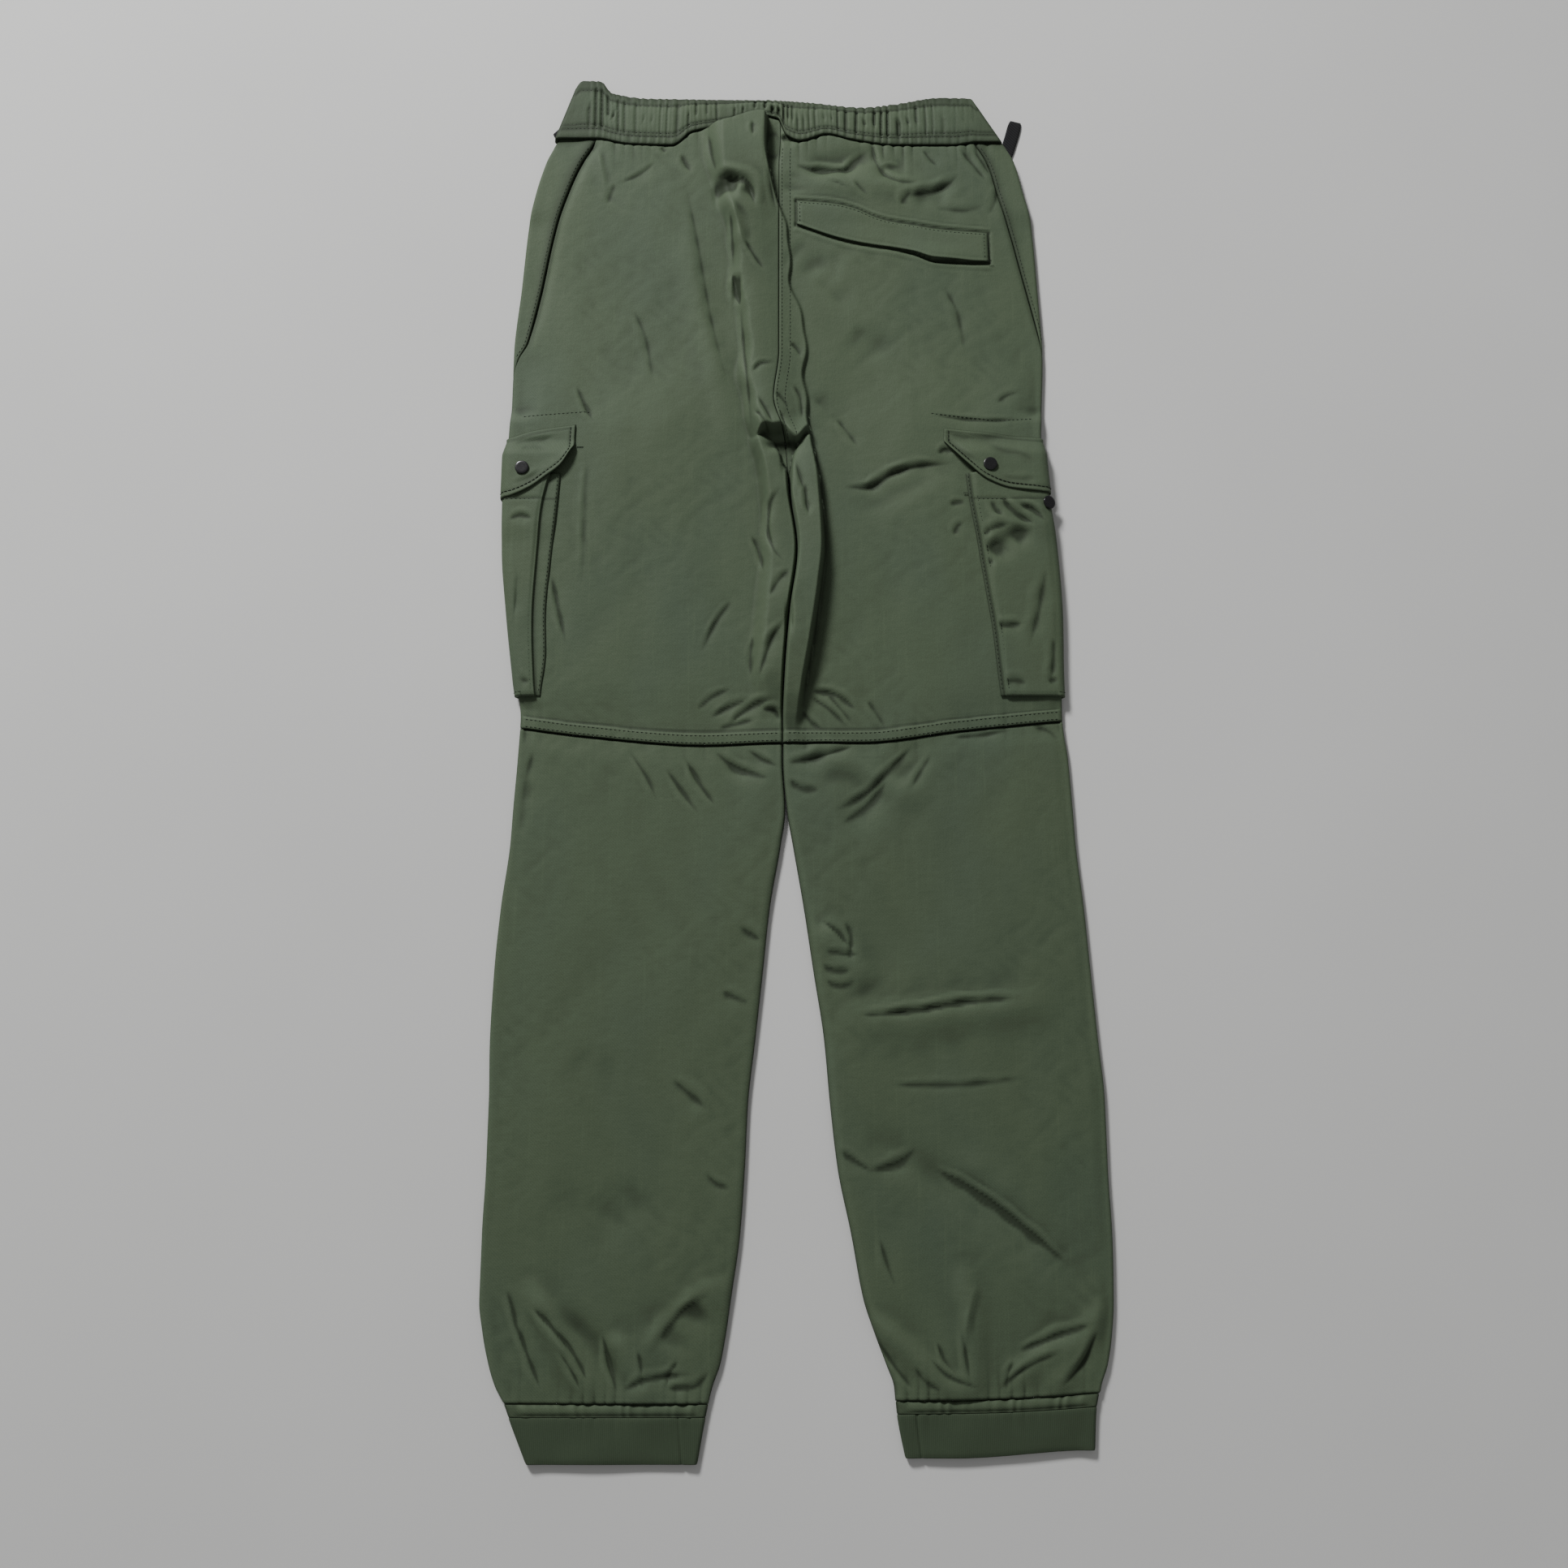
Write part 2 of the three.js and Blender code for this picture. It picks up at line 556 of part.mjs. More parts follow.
// A closed wall between two grids of points. A ringed wall closes on itself across.
function wall(outer, inner, ringed) {
  const rows = outer.length;
  const columns = outer[0].length;
  const spans = ringed ? columns : columns - 1;
  const positions = [...outer.flat(), ...inner.flat()].flatMap((p) => [p.x, p.y, p.z]);
  const at = (layer, row, column) => layer * rows * columns + row * columns + (column % columns);
  const index = [];
  const quad = (a, b, c, d) => index.push(a, b, c, a, c, d);
  for (let r = 0; r < rows - 1; r += 1) {
    for (let c = 0; c < spans; c += 1) {
      quad(at(0, r, c), at(0, r, c + 1), at(0, r + 1, c + 1), at(0, r + 1, c));
      quad(at(1, r, c), at(1, r + 1, c), at(1, r + 1, c + 1), at(1, r, c + 1));
    }
    if (!ringed) {
      quad(at(0, r, 0), at(0, r + 1, 0), at(1, r + 1, 0), at(1, r, 0));
      quad(at(0, r + 1, spans), at(0, r, spans), at(1, r, spans), at(1, r + 1, spans));
    }
  }
  for (let c = 0; c < spans; c += 1) {
    quad(at(0, 0, c + 1), at(0, 0, c), at(1, 0, c), at(1, 0, c + 1));
    quad(at(0, rows - 1, c), at(0, rows - 1, c + 1), at(1, rows - 1, c + 1), at(1, rows - 1, c));
  }
  const geometry = new THREE.BufferGeometry();
  geometry.setAttribute("position", new THREE.Float32BufferAttribute(positions, 3));
  geometry.setIndex(facingOut(positions, index));
  return geometry;
}

// Turns the faces round where they enclose a negative volume.
function facingOut(positions, index) {
  const point = (i) => new THREE.Vector3().fromArray(positions, 3 * i);
  let volume = 0;
  for (let i = 0; i < index.length; i += 3) {
    const [a, b, c] = [point(index[i]), point(index[i + 1]), point(index[i + 2])];
    volume += a.dot(b.cross(c));
  }
  if (volume > 0) return index;
  const turned = [];
  for (let i = 0; i < index.length; i += 3) turned.push(index[i], index[i + 2], index[i + 1]);
  return turned;
}

// A panel of one leg: rows of heights, and a function that gives each row's places across.
function panel(side, rows, columnsAt, endGaps, extra) {
  const outer = [];
  const inner = [];
  rows.forEach((rowY, r) => {
    const gap = r === 0 ? -endGaps.first : r === rows.length - 1 ? endGaps.last : 0;
    const outerRow = [];
    const innerRow = [];
    columnsAt(rowY).forEach((first, c) => {
      const x = legPoint(side, rowY, first).point.x;
      const y = warpRow(x, rowY, first < 0) + gap;
      const along = columnsAt(y)[c];
      const { point, out, thick, fromEdge } = legPoint(side, y, along);
      point.addScaledVector(out, extra ? extra(rowY, along) : 0);
      const under = point.clone().addScaledVector(out, -CLOTH * thick);
      const floor = lift(side, fromEdge, y) + CLOTH + GAP;
      if (along > QUARTER_ARC) under.z = Math.max(under.z, floor);
      outerRow.push(point);
      innerRow.push(under);
    });
    outer.push(outerRow);
    inner.push(innerRow);
  });
  return { outer, inner };
}

function widthRound(side, y) {
  const edges = legEdges(side, y);
  return Math.abs(edges.outer - edges.inner) - EDGE_RADIUS + QUARTER_ARC;
}

function seamAt(side, y) {
  return read(SIDE_SEAM, "y", y, side === LEFT ? "left" : "right");
}

// Places across a back panel: close together at the side edge and at the inner edge.
function backColumns(side, list) {
  return (y) => {
    const start = seamAt(side, y);
    const end = widthRound(side, y);
    const scale = (end - start - QUARTER_ARC) / COLUMN_SPAN;
    const edge = [start, start + QUARTER_ARC / 2, start + QUARTER_ARC];
    return [...edge, ...list.map((v) => end - v * scale)];
  };
}

// Places across a front panel: under the leg, round its edge and up to the side seam.
function frontColumns(side, wrapped) {
  const clear = EDGE_RADIUS - QUARTER_ARC - pocketOf(side).clear;
  return (y) => {
    const start = -widthRound(side, y);
    const end = seamAt(side, y) - GAP;
    const under = wrapped ? [start, clear - LIFT_RAMP, clear, clear / 2] : [start, start / 2];
    const round = wrapped ? [-1, -0.5, 0, 0.5, 1, 3] : [-1, -0.5];
    const count = round.length;
    const stops = round.map((t, i) => {
      return Math.min(t * QUARTER_ARC, mix(-QUARTER_ARC, end, i / count));
    });
    return [...under, ...stops, end];
  };
}

function kneeBand(y) {
  return y <= KNEE_Y + KNEE_BAND ? KNEE_BAND_RISE : 0;
}

function kneeDip(y, along) {
  const share = smooth((y - KNEE_Y + KNEE_TUCK.length) / KNEE_TUCK.length);
  return along > QUARTER_ARC ? -KNEE_TUCK.depth * share : 0;
}

function upperBack(side) {
  const columns = backColumns(side, INNER_COLUMNS);
  const band = (y, along) => (along > QUARTER_ARC ? kneeBand(y) : 0);
  return panel(side, UPPER_ROWS, columns, { first: GAP, last: GAP / 2 }, band);
}

function upperFront(side) {
  return panel(side, UPPER_ROWS, frontColumns(side, true), { first: GAP, last: GAP / 2 });
}

function lowerBack(side) {
  const columns = backColumns(side, LOWER_INNER_COLUMNS);
  return panel(side, LOWER_ROWS, columns, { first: GAP / 2, last: GAP / 2 }, kneeDip);
}

function lowerFront(side) {
  return panel(side, LOWER_ROWS, frontColumns(side, false), { first: GAP / 2, last: GAP / 2 });
}

// A flattened ring of cloth. Each row gives its ends, height and rise; the columns are
// fractions across the upper side, and the under side is plain.
function ring(rows, upper, underCount, radius, cloth) {
  const outer = [];
  const inner = [];
  for (const row of rows) {
    const outerRow = [];
    const innerRow = [];
    const push = (x, z, outX, outZ) => {
      const y = row.y(x, outZ < 0.1);
      outerRow.push(new THREE.Vector3(x, y, z));
      const raised = z - row.floor - 2 * radius;
      const plain = outZ > 0 && outX === 0 ? z - raised : z;
      innerRow.push(new THREE.Vector3(x - outX * cloth, y, plain - outZ * cloth));
    };
    for (const t of upper) {
      const x = mix(row.left + radius, row.right - radius, t);
      push(x, row.floor + 2 * radius + row.wave(t), 0, 1);
    }
    const arc = (middle, direction, angles) => {
      for (const degrees of angles) {
        const angle = THREE.MathUtils.degToRad(degrees);
        const outX = direction * Math.cos(angle);
        const outZ = Math.sin(angle);
        push(middle + radius * outX, row.floor + radius + radius * outZ, outX, outZ);
      }
    };
    arc(row.right - radius, 1, RING_QUARTERS);
    for (let i = 0; i <= underCount; i += 1) {
      push(mix(row.right - radius, row.left + radius, i / underCount), row.floor, 0, -1);
    }
    arc(row.left + radius, -1, [...RING_QUARTERS].reverse());
    outer.push(outerRow);
    inner.push(innerRow);
  }
  return wall(outer, inner, true);
}

// Fractions across for the gathers, two to a wave, with the size of each wave there.
function gatherColumns(zones) {
  const columns = [];
  const low = zones[0].from;
  const high = zones[zones.length - 1].to;
  for (const zone of zones) {
    const count = zone.waves ? 2 * zone.waves : zone.plain;
    for (let i = 0; i < count; i += 1) {
      const x = mix(zone.from, zone.to, i / count);
      columns.push({ t: (x - low) / (high - low), wave: i % 2 === 0 ? zone.depth : 0 });
    }
  }
  columns.push({ t: 1, wave: 0 });
  return columns;
}

// The line of the panels' upper ends, from left to right, which the waistband follows.
function panelEnds(panels) {
  const ends = [];
  for (const side of [LEFT, RIGHT]) {
    const front = panels[side].front.outer[0].filter((p) => p.z > WAIST_LIFT + EDGE_RADIUS);
    ends.push(...front, ...panels[side].back.outer[0]);
  }
  return ends.map((p) => ({ x: p.x, y: p.y })).sort((a, b) => a.x - b.x);
}

function onLine(points, x) {
  const last = points.length - 1;
  if (x <= points[0].x) return points[0].y;
  if (x >= points[last].x) return points[last].y;
  let i = 0;
  while (points[i + 1].x < x) i += 1;
  const t = (x - points[i].x) / (points[i + 1].x - points[i].x);
  return mix(points[i].y, points[i + 1].y, t);
}

function waistband(panels) {
  const ends = panelEnds(panels);
  const columns = gatherColumns(BAND_ZONES);
  const sizeAt = new Map(columns.map((c) => [c.t, c.wave]));
  const rows = BAND_ROWS.map((row) => ({
    left: mix(BAND_ENDS.bottomLeft, BAND_ENDS.topLeft, row.up),
    right: mix(BAND_ENDS.bottomRight, BAND_ENDS.topRight, row.up),
    floor: WAIST_LIFT,
    y: (x, isUnder) => {
      const seam = isUnder ? WAIST_Y : onLine(ends, x) + GAP;
      return mix(seam + BAND_CLEARANCE, read(WAIST_TOP, "x", x, "y"), row.up);
    },
    wave: (t) => {
      const ends = smooth(BAND_END_FADE * t) * smooth(BAND_END_FADE * (1 - t));
      return row.rise * ends + row.gather * sizeAt.get(t);
    },
  }));
  const places = columns.map((c) => c.t);
  return ring(rows, places, BAND_UNDER_COLUMNS, BAND_EDGE_RADIUS, BAND_CLOTH);
}

function hem(side) {
  const zones = [{ from: 0, to: 1, waves: HEM.waves, depth: HEM.depth }];
  const columns = gatherColumns(zones);
  const sizeAt = new Map(columns.map((c) => [c.t, c.wave]));
  const seam = (x) => read(HEM_SEAM, "x", x, "y") - GAP;
  const rows = [0, 0.5, 1].map((down) => {
    const edges = legEdges(side, HEM_Y - down * HEM_HEIGHT);
    return {
      left: Math.min(edges.outer, edges.inner),
      right: Math.max(edges.outer, edges.inner),
      floor: 0,
      y: (x) => seam(x) - down * HEM_HEIGHT,
      wave: (t) => {
        return (down === 0.5 ? HEM.bulge : 0) + sizeAt.get(t) * (down === 1 ? HEM.footShare : 1);
      },
    };
  });
  const places = columns.map((c) => c.t);
  return ring(rows, places, HEM.underColumns, CUFF_EDGE_RADIUS, CUFF_CLOTH);
}

function cuff(side) {
  const top = (x) => read(HEM_SEAM, "x", x, "y") - HEM_HEIGHT - 2 * GAP;
  const foot = RIGHT_CUFF_FOOT;
  const bottom = (x) => {
    if (side === LEFT) return CUFF_BOTTOM_Y;
    return CUFF_BOTTOM_Y + foot.up + foot.slope * smooth((x - foot.from) / foot.length);
  };
  const rows = CUFF_ROWS.map((down) => {
    const edges = legEdges(side, mix(HEM_Y - HEM_HEIGHT, CUFF_BOTTOM_Y, down));
    return {
      left: Math.min(edges.outer, edges.inner),
      right: Math.max(edges.outer, edges.inner),
      floor: 0,
      y: (x) => mix(top(x), bottom(x), down),
      wave: () => (down === 1 ? -CUFF_FOOT_DROP : 0),
    };
  });
  return ring(rows, CUFF_COLUMNS, CUFF_UNDER_COLUMNS, CUFF_EDGE_RADIUS, CUFF_CLOTH);
}

// How thick the pocket is at a place: its gusset is thin, and its face stands up.
function pocketDepth(pocket, y, along) {
  const face = read(pocket.seam, "y", y, "face");
  const full = mix(POCKET_CLOTH, pocket.rise, smooth((along + QUARTER_ARC) / (2 * QUARTER_ARC)));
  return along > face - POCKET_FACE_FOLD / 2 ? POCKET_CLOTH : full;
}

// A strip that lies on a leg: columns of places round it, rows from top to bottom.
function strip(side, grid, insideAt, depthAt) {
  const outer = [];
  const inner = [];
  for (const row of grid) {
    const outerRow = [];
    const innerRow = [];
    for (const { y, along } of row) {
      const { point, out } = legPoint(side, y, along);
      const inside = insideAt(y, along);
      innerRow.push(point.clone().addScaledVector(out, inside));
      outerRow.push(point.clone().addScaledVector(out, inside + depthAt(y, along)));
    }
    outer.push(outerRow);
    inner.push(innerRow);
  }
  return wall(outer, inner, false);
}

function cargoPocket(pocket) {
  const grid = [];
  for (const y of UPPER_ROWS.filter((row) => row <= pocket.mouth && row >= pocket.bottom)) {
    const at = read(pocket.seam, "y", y, "at");
    const face = read(pocket.seam, "y", y, "face");
    const q = QUARTER_ARC;
    const gusset = [at, (at + face) / 2, face, face - POCKET_FACE_FOLD];
    const round = [(face + q) / 2, q, q / 2, 0, -q / 2, -q];
    const under = POCKET_UNDER.map((t) => mix(-q, -pocket.under - q, t));
    grid.push([...gusset, ...round, ...under].map((along) => ({ y, along })));
  }
  const depth = (y, along) => pocketDepth(pocket, y, along);
  return strip(pocket.side, grid, () => GAP, depth);
}

function flapInside(pocket, y, along) {
  const over = 1 - smooth((y - pocket.mouth - FLAP_OVER.above) / FLAP_OVER.ramp);
  const q = QUARTER_ARC;
  const full = mix(POCKET_CLOTH, pocket.rise, smooth((along + q) / (2 * q)));
  return GAP + over * (full + GAP);
}

function cargoFlap(pocket) {
  const q = QUARTER_ARC;
  const ends = pocket.flapTop;
  const low = ends[0].at;
  const high = ends[ends.length - 1].at;
  const back = FLAP_BACK.map((t) => mix(q, high, t));
  const front = FLAP_FRONT.map((t) => mix(-q, low, t));
  const places = [...back, q, q / 2, 0, -q / 2, -q, ...front];
  const grid = [];
  for (let r = 0; r <= FLAP_ROWS; r += 1) {
    grid.push(
      places.map((along) => {
        const top = read(pocket.flapTop, "at", along, "y");
        const bottom = read(pocket.flapLow, "at", along, "y");
        return { y: mix(top, bottom, r / FLAP_ROWS), along };
      }),
    );
  }
  const inside = (y, along) => flapInside(pocket, y, along);
  return strip(pocket.side, grid, inside, () => FLAP_CLOTH);
}

function snapMesh(pocket, snap) {
  const points = SNAP_PROFILE.map((p) => new THREE.Vector2(p.r, p.z));
  const geometry = new THREE.LatheGeometry(points, SNAP_SIDES).rotateX(Math.PI / 2);
  const { point, out } = legPoint(pocket.side, snap.y, snap.at);
  const onPocket = GAP + pocketDepth(pocket, snap.y, snap.at);
  const onFlap = flapInside(pocket, snap.y, snap.at) + FLAP_CLOTH;
  const offset = (snap.on === "flap" ? onFlap : onPocket) + 2 * GAP;
  const mesh = new THREE.Mesh(geometry, finish("snap"));
  mesh.name = snap.name;
  mesh.position.copy(point.addScaledVector(out, offset));
  mesh.quaternion.setFromUnitVectors(new THREE.Vector3(0, 0, 1), out);
  return mesh;
}

function backWelt() {
  const outer = [];
  const inner = [];
  for (let r = 0; r <= WELT_ROWS; r += 1) {
    const outerRow = [];
    const innerRow = [];
    for (const column of WELT) {
      const y = mix(column.top, column.mouth, r / WELT_ROWS);
      const gape = WELT_GAPE * (r / WELT_ROWS) ** 2;
      const z = topHeight(RIGHT, column.x, y) + 2 * GAP + gape;
      innerRow.push(new THREE.Vector3(column.x, y, z));
      outerRow.push(new THREE.Vector3(column.x, y, z + WELT_CLOTH));
    }
    outer.push(outerRow);
    inner.push(innerRow);
  }
  return wall(outer, inner, false);
}

// A flat tape along a route on the floor, with its corners rounded off at the tip.
function tape(route) {
  const curve = new THREE.CatmullRomCurve3(route.map(([x, y]) => new THREE.Vector3(x, y, 0)));
  const outer = [];
  const inner = [];
  for (let i = 0; i <= TAPE_STEPS; i += 1) {
    const t = i / TAPE_STEPS;
    const point = curve.getPointAt(t);
    const direction = curve.getTangentAt(t);
    const across = new THREE.Vector3(-direction.y, direction.x, 0);
    const half = (TAPE_WIDTH / 2) * (i === TAPE_STEPS ? TAPE_TIP : 1);
    const row = TAPE_ACROSS.map(({ at, height }) => {
      const low = point.clone().addScaledVector(across, at * half).setZ(TAPE_FLOOR);
      return { low, high: low.clone().setZ(TAPE_FLOOR + height * TAPE_THICKNESS) };
    });
    outer.push(row.map((p) => p.high));
    inner.push(row.map((p) => p.low));
  }
  return wall(outer, inner, false);
}

function finish(kind) {
  const settings = { color: COLOURS[kind], roughness: 0.85, metalness: 0, side: THREE.DoubleSide };
  if (kind === "snap") Object.assign(settings, { roughness: 0.35, metalness: 0.8 });
  return new THREE.MeshStandardMaterial(settings);
}

function named(name, geometry, kind) {
  const mesh = new THREE.Mesh(geometry, finish(kind));
  mesh.name = name;
  return mesh;
}

function flatWall(grids) {
  return wall(grids.outer, grids.inner, false);
}

const garment = new THREE.Group();
const upperPanels = {
  [LEFT]: { back: upperBack(LEFT), front: upperFront(LEFT) },
  [RIGHT]: { back: upperBack(RIGHT), front: upperFront(RIGHT) },
};
garment.add(named("waistband", waistband(upperPanels), "cloth"));
for (const [label, side] of [["left", LEFT], ["right", RIGHT]]) {
  const pocket = POCKETS[label];
  garment.add(named(`back_upper_${label}`, flatWall(upperPanels[side].back), "cloth"));
  garment.add(named(`front_upper_${label}`, flatWall(upperPanels[side].front), "cloth"));
  garment.add(named(`back_lower_${label}`, flatWall(lowerBack(side)), "cloth"));
  garment.add(named(`front_lower_${label}`, flatWall(lowerFront(side)), "cloth"));
  garment.add(named(`leg_hem_${label}`, hem(side), "cloth"));
  garment.add(named(`cuff_${label}`, cuff(side), "cuff"));
  garment.add(named(`cargo_pocket_${label}`, cargoPocket(pocket), "cloth"));
  garment.add(named(`cargo_flap_${label}`, cargoFlap(pocket), "cloth"));
  for (const snap of pocket.snaps) garment.add(snapMesh(pocket, snap));
}
garment.add(named("back_pocket_welt", backWelt(), "cloth"));
for (const { name, route } of TAPES) garment.add(named(name, tape(route), "tape"));

// The origin is on the floor, under the middle of the garment's box.
const middle = new THREE.Box3().setFromObject(garment).getCenter(new THREE.Vector3());
garment.position.set(-middle.x, -middle.y, 0);

export default garment;
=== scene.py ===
"""Looks for the cargo trousers, laid flat with the back up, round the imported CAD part."""
import functools
import math

import bpy
import numpy as np
from bpy.props import FloatProperty, FloatVectorProperty, PointerProperty
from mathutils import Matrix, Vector


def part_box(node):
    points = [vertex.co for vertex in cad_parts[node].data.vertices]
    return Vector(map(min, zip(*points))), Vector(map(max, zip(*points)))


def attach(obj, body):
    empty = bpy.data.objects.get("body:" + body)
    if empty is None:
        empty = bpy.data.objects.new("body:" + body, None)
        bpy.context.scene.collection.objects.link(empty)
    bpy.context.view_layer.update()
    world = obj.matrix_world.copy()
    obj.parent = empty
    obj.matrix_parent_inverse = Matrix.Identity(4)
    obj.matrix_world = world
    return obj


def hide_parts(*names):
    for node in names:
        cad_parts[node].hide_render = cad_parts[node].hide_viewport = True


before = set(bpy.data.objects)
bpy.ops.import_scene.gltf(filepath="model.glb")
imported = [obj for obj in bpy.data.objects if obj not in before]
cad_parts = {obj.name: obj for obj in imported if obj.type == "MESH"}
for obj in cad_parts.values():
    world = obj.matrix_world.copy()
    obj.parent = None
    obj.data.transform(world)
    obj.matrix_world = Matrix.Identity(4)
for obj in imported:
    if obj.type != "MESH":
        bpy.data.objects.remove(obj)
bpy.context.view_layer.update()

bl_info = {
    "name": "Cargo trousers",
    "version": (1, 0, 0),
    "blender": (4, 5, 0),
    "location": "View3D > Sidebar > Trousers",
    "description": "Cloth, seams and stitching for cargo trousers laid flat",
    "category": "Object",
}

LEFT = -1
RIGHT = 1

# Sizes in millimetres, as in the part's source.
CLOTH = 1.2
BAND_CLOTH = 2.6
CUFF_CLOTH = 1.8
GAP = 0.3
SEAM_HALF_GAP = 0.15
EDGE_RADIUS = 2.4
BAND_EDGE_RADIUS = 3.6
CUFF_EDGE_RADIUS = 2.4
CROWN = 1
CROWN_REACH = 45
CROTCH_Y = 210
KNEE_Y = -16
KNEE_BAND = 9
KNEE_BAND_RISE = 0.8
HEM_Y = -481
HEM_HEIGHT = 8
CUFF_BOTTOM_Y = -519
WAIST_Y = 476
TAPE_WIDTH = 11
TAPE_THICKNESS = 1.3
TAPE_FLOOR = 0.1
WAIST_LIFT = 1.8
BAND_CLEARANCE = 0.3
LIFT_RAMP = 14
POCKET_CLOTH = 1.2
FLAP_CLOTH = 1.2
QUARTER_ARC = EDGE_RADIUS * math.pi / 2

# How far a sewn edge turns down at a seam, and from what distance.
SEAM_ROLL_DEPTH = 0.55
SEAM_ROLL_REACH = 1.3

# The panels' finer wall in this scene: one in three of its rows and columns is kept inside.
SHELL = 0.8
INNER_STEP = 3

# A crease of this half width or more is soft on both sides.
BROAD_CREASE = 4

# How much of the cloth's fine form shows through what is sewn on it.
FORM_UNDER_POCKET = 0.35
FORM_UNDER_WELT = 0.4

# Sewing and fasteners, in millimetres.
WELT_LEFT = 5
WELT_RIGHT = 157
POCKET_HEM = 21
POCKET_FOLD = 2.2
CAP_RADIUS = 5.2
CAP_HEIGHT = 1.2
CAP_STEPS = ((0.3, 0.2), (0.4, 0.08), (0.7, 0.03), (1.0, 0.0), (1.2, -0.02))
THREAD_RADIUS = 0.34
STITCH_LENGTH = 2.5
STITCH_BEND = 0.7
STITCH_DIVE = 0.3
THREAD_ABOVE = 0.1
TACK_PITCH = 1.2
TACK_SIZE = 0.6
SEAM_STITCH_TOP = 470
CENTRE_STITCH_INSETS = (-2.6, -9.0)
SIDE_STITCH_INSET = -2.4
KNEE_STITCH_HEIGHTS = (1.8, 7.2)
FLAP_STITCH_INSET = 3.6
WELT_STITCH_INSET = 2.6
LOWEST_THREAD = 0.02
LOWEST_CLOTH = 0.05

# The photo's camera: its film, its focal length in pixels and where it stood, in millimetres.
FILM_WIDTH = 36
PHOTO_PIXELS = 1932
FOCAL_PIXELS = 1935
LENS = FILM_WIDTH * FOCAL_PIXELS / PHOTO_PIXELS
CAMERA_X = -5
CAMERA_Y = -308.6

# Lights: place, target, size and power, in metres and watts.
LIGHTS = {
    "key_light": ((-1.35, 2.4, 1.95), (0, 0.05, 0), 0.7, 139),
    "fill_light": ((0.6, -1.1, 1.9), (0, -0.3, 0), 1.6, 2.5),
}
SKY_STRENGTH = 0.22
FLOOR_SIZE = 12
FLOOR_DROP = 0.0004


def clamp(t, low, high):
    return np.minimum(np.maximum(t, low), high)


def smooth(t):
    c = clamp(t, 0, 1)
    return c * c * (3 - 2 * c)


def mix(a, b, t):
    return a + (b - a) * t


def bell(t):
    return np.exp(-t * t)


def faded(t, steepness):
    """One along the way from 0 to 1, and falling to nothing at both ends."""
    return smooth(steepness * t) * smooth(steepness * (1 - t))


class Table:
    """Rows with named columns, read at any place by a smooth curve through them."""

    def __init__(self, names, rows):
        data = np.array(rows, float)
        data = data[np.argsort(data[:, 0])]
        self.names = names
        self.key = data[:, 0]
        self.column = {name: data[:, i] for i, name in enumerate(names)}
        self.tangent = {name: self.tangents(name) for name in names[1:]}

    def tangents(self, name):
        slope = np.diff(self.column[name]) / np.diff(self.key)
        before = np.concatenate([slope[:1], slope])
        after = np.concatenate([slope, slope[-1:]])
        total = before + after
        safe = np.where(total == 0, 1, total)
        return np.where(before * after <= 0, 0, 2 * before * after / safe)

    def at(self, name, place):
        key = self.key
        place = clamp(np.asarray(place, float), key[0], key[-1])
        i = np.clip(np.searchsorted(key, place, side="right") - 1, 0, len(key) - 2)
        span = key[i + 1] - key[i]
        t = (place - key[i]) / span
        value = self.column[name]
        tangent = self.tangent[name]
        p0, p1 = value[i], value[i + 1]
        m0, m1 = tangent[i] * span, tangent[i + 1] * span
        cubic = 2 * p0 - 2 * p1 + m0 + m1
        square = 3 * p1 - 3 * p0 - 2 * m0 - m1
        return ((cubic * t + square) * t + m0) * t + p0


# The outline on the floor. Above the crotch the inner edges are the centre back seam.
OUTLINE = Table(
    ("y", "leftOuter", "leftInner", "rightInner", "rightOuter"),
    (
        (520, -188, -8, -8, 166), (480, -188, -8, -8, 170), (458, -196, -9, -9, 180),
        (432, -203, -9, -9, 186), (403, -208, -9, -9, 192), (346, -212, -9, -9, 195),
        (290, -216, -9, -9, 197), (249, -216, -13, -13, 195), (215, -217, -4, -4, 193),
        (174, -217, -1, -1, 195), (128, -216, 5, 5, 200), (78, -211, -1, -1, 202),
        (25, -204, -5, -5, 201), (-5, -200, -6, -6, 201), (-35, -201, -6, -6, 204),
        (-74, -203, -4, -3, 206), (-98, -204, -7, 1, 207), (-145, -209, -15, 9, 211),
        (-192, -212, -20, 16, 214), (-238, -213, -25, 23, 217), (-283, -212, -30, 27, 220),
        (-327, -212, -32, 32, 220), (-371, -213, -35, 41, 221), (-414, -213, -41, 49, 220),
        (-435, -210, -44, 56, 218), (-456, -205, -48, 64, 214), (-470, -200, -53, 69, 209),
        (-482, -193, -56, 70, 207), (-492, -189, -58, 71, 205), (-520, -177, -63, 76, 203),
    ),
)

SIDE_SEAM = Table(
    ("y", "left", "right"),
    (
        (-520, 0, 0), (265, 0, 0), (285, 5, 0), (300, 12, 3), (340, 17, 10), (380, 21, 17),
        (414, 25, 22), (446, 29, 23), (480, 33, 25), (520, 33, 25),
    ),
)

WAIST_SEAM = Table(
    ("x", "y"),
    (
        (-187, 476), (-158, 478), (-128, 473), (-94, 472), (-80, 484), (-50, 491), (-25, 499),
        (-10, 496), (-3, 481), (8, 476), (30, 482), (50, 477), (83, 472), (128, 472),
        (150, 475), (168, 476),
    ),
)

WAIST_TOP = Table(
    ("x", "y"),
    (
        (-176, 531), (-154, 530), (-144, 519), (-114, 514), (-23, 513), (17, 510), (58, 506),
        (85, 509), (121, 515), (152, 514),
    ),
)

KNEE_SEAM = Table(
    ("x", "y"),
    (
        (-205, -11), (-154, -18), (-66, -25), (-6, -23), (52, -23), (126, -14), (205, -6),
    ),
)

HEM_SEAM = Table(
    ("x", "y"),
    (
        (-215, -481), (-50, -481), (70, -479), (136, -478), (222, -473),
    ),
)

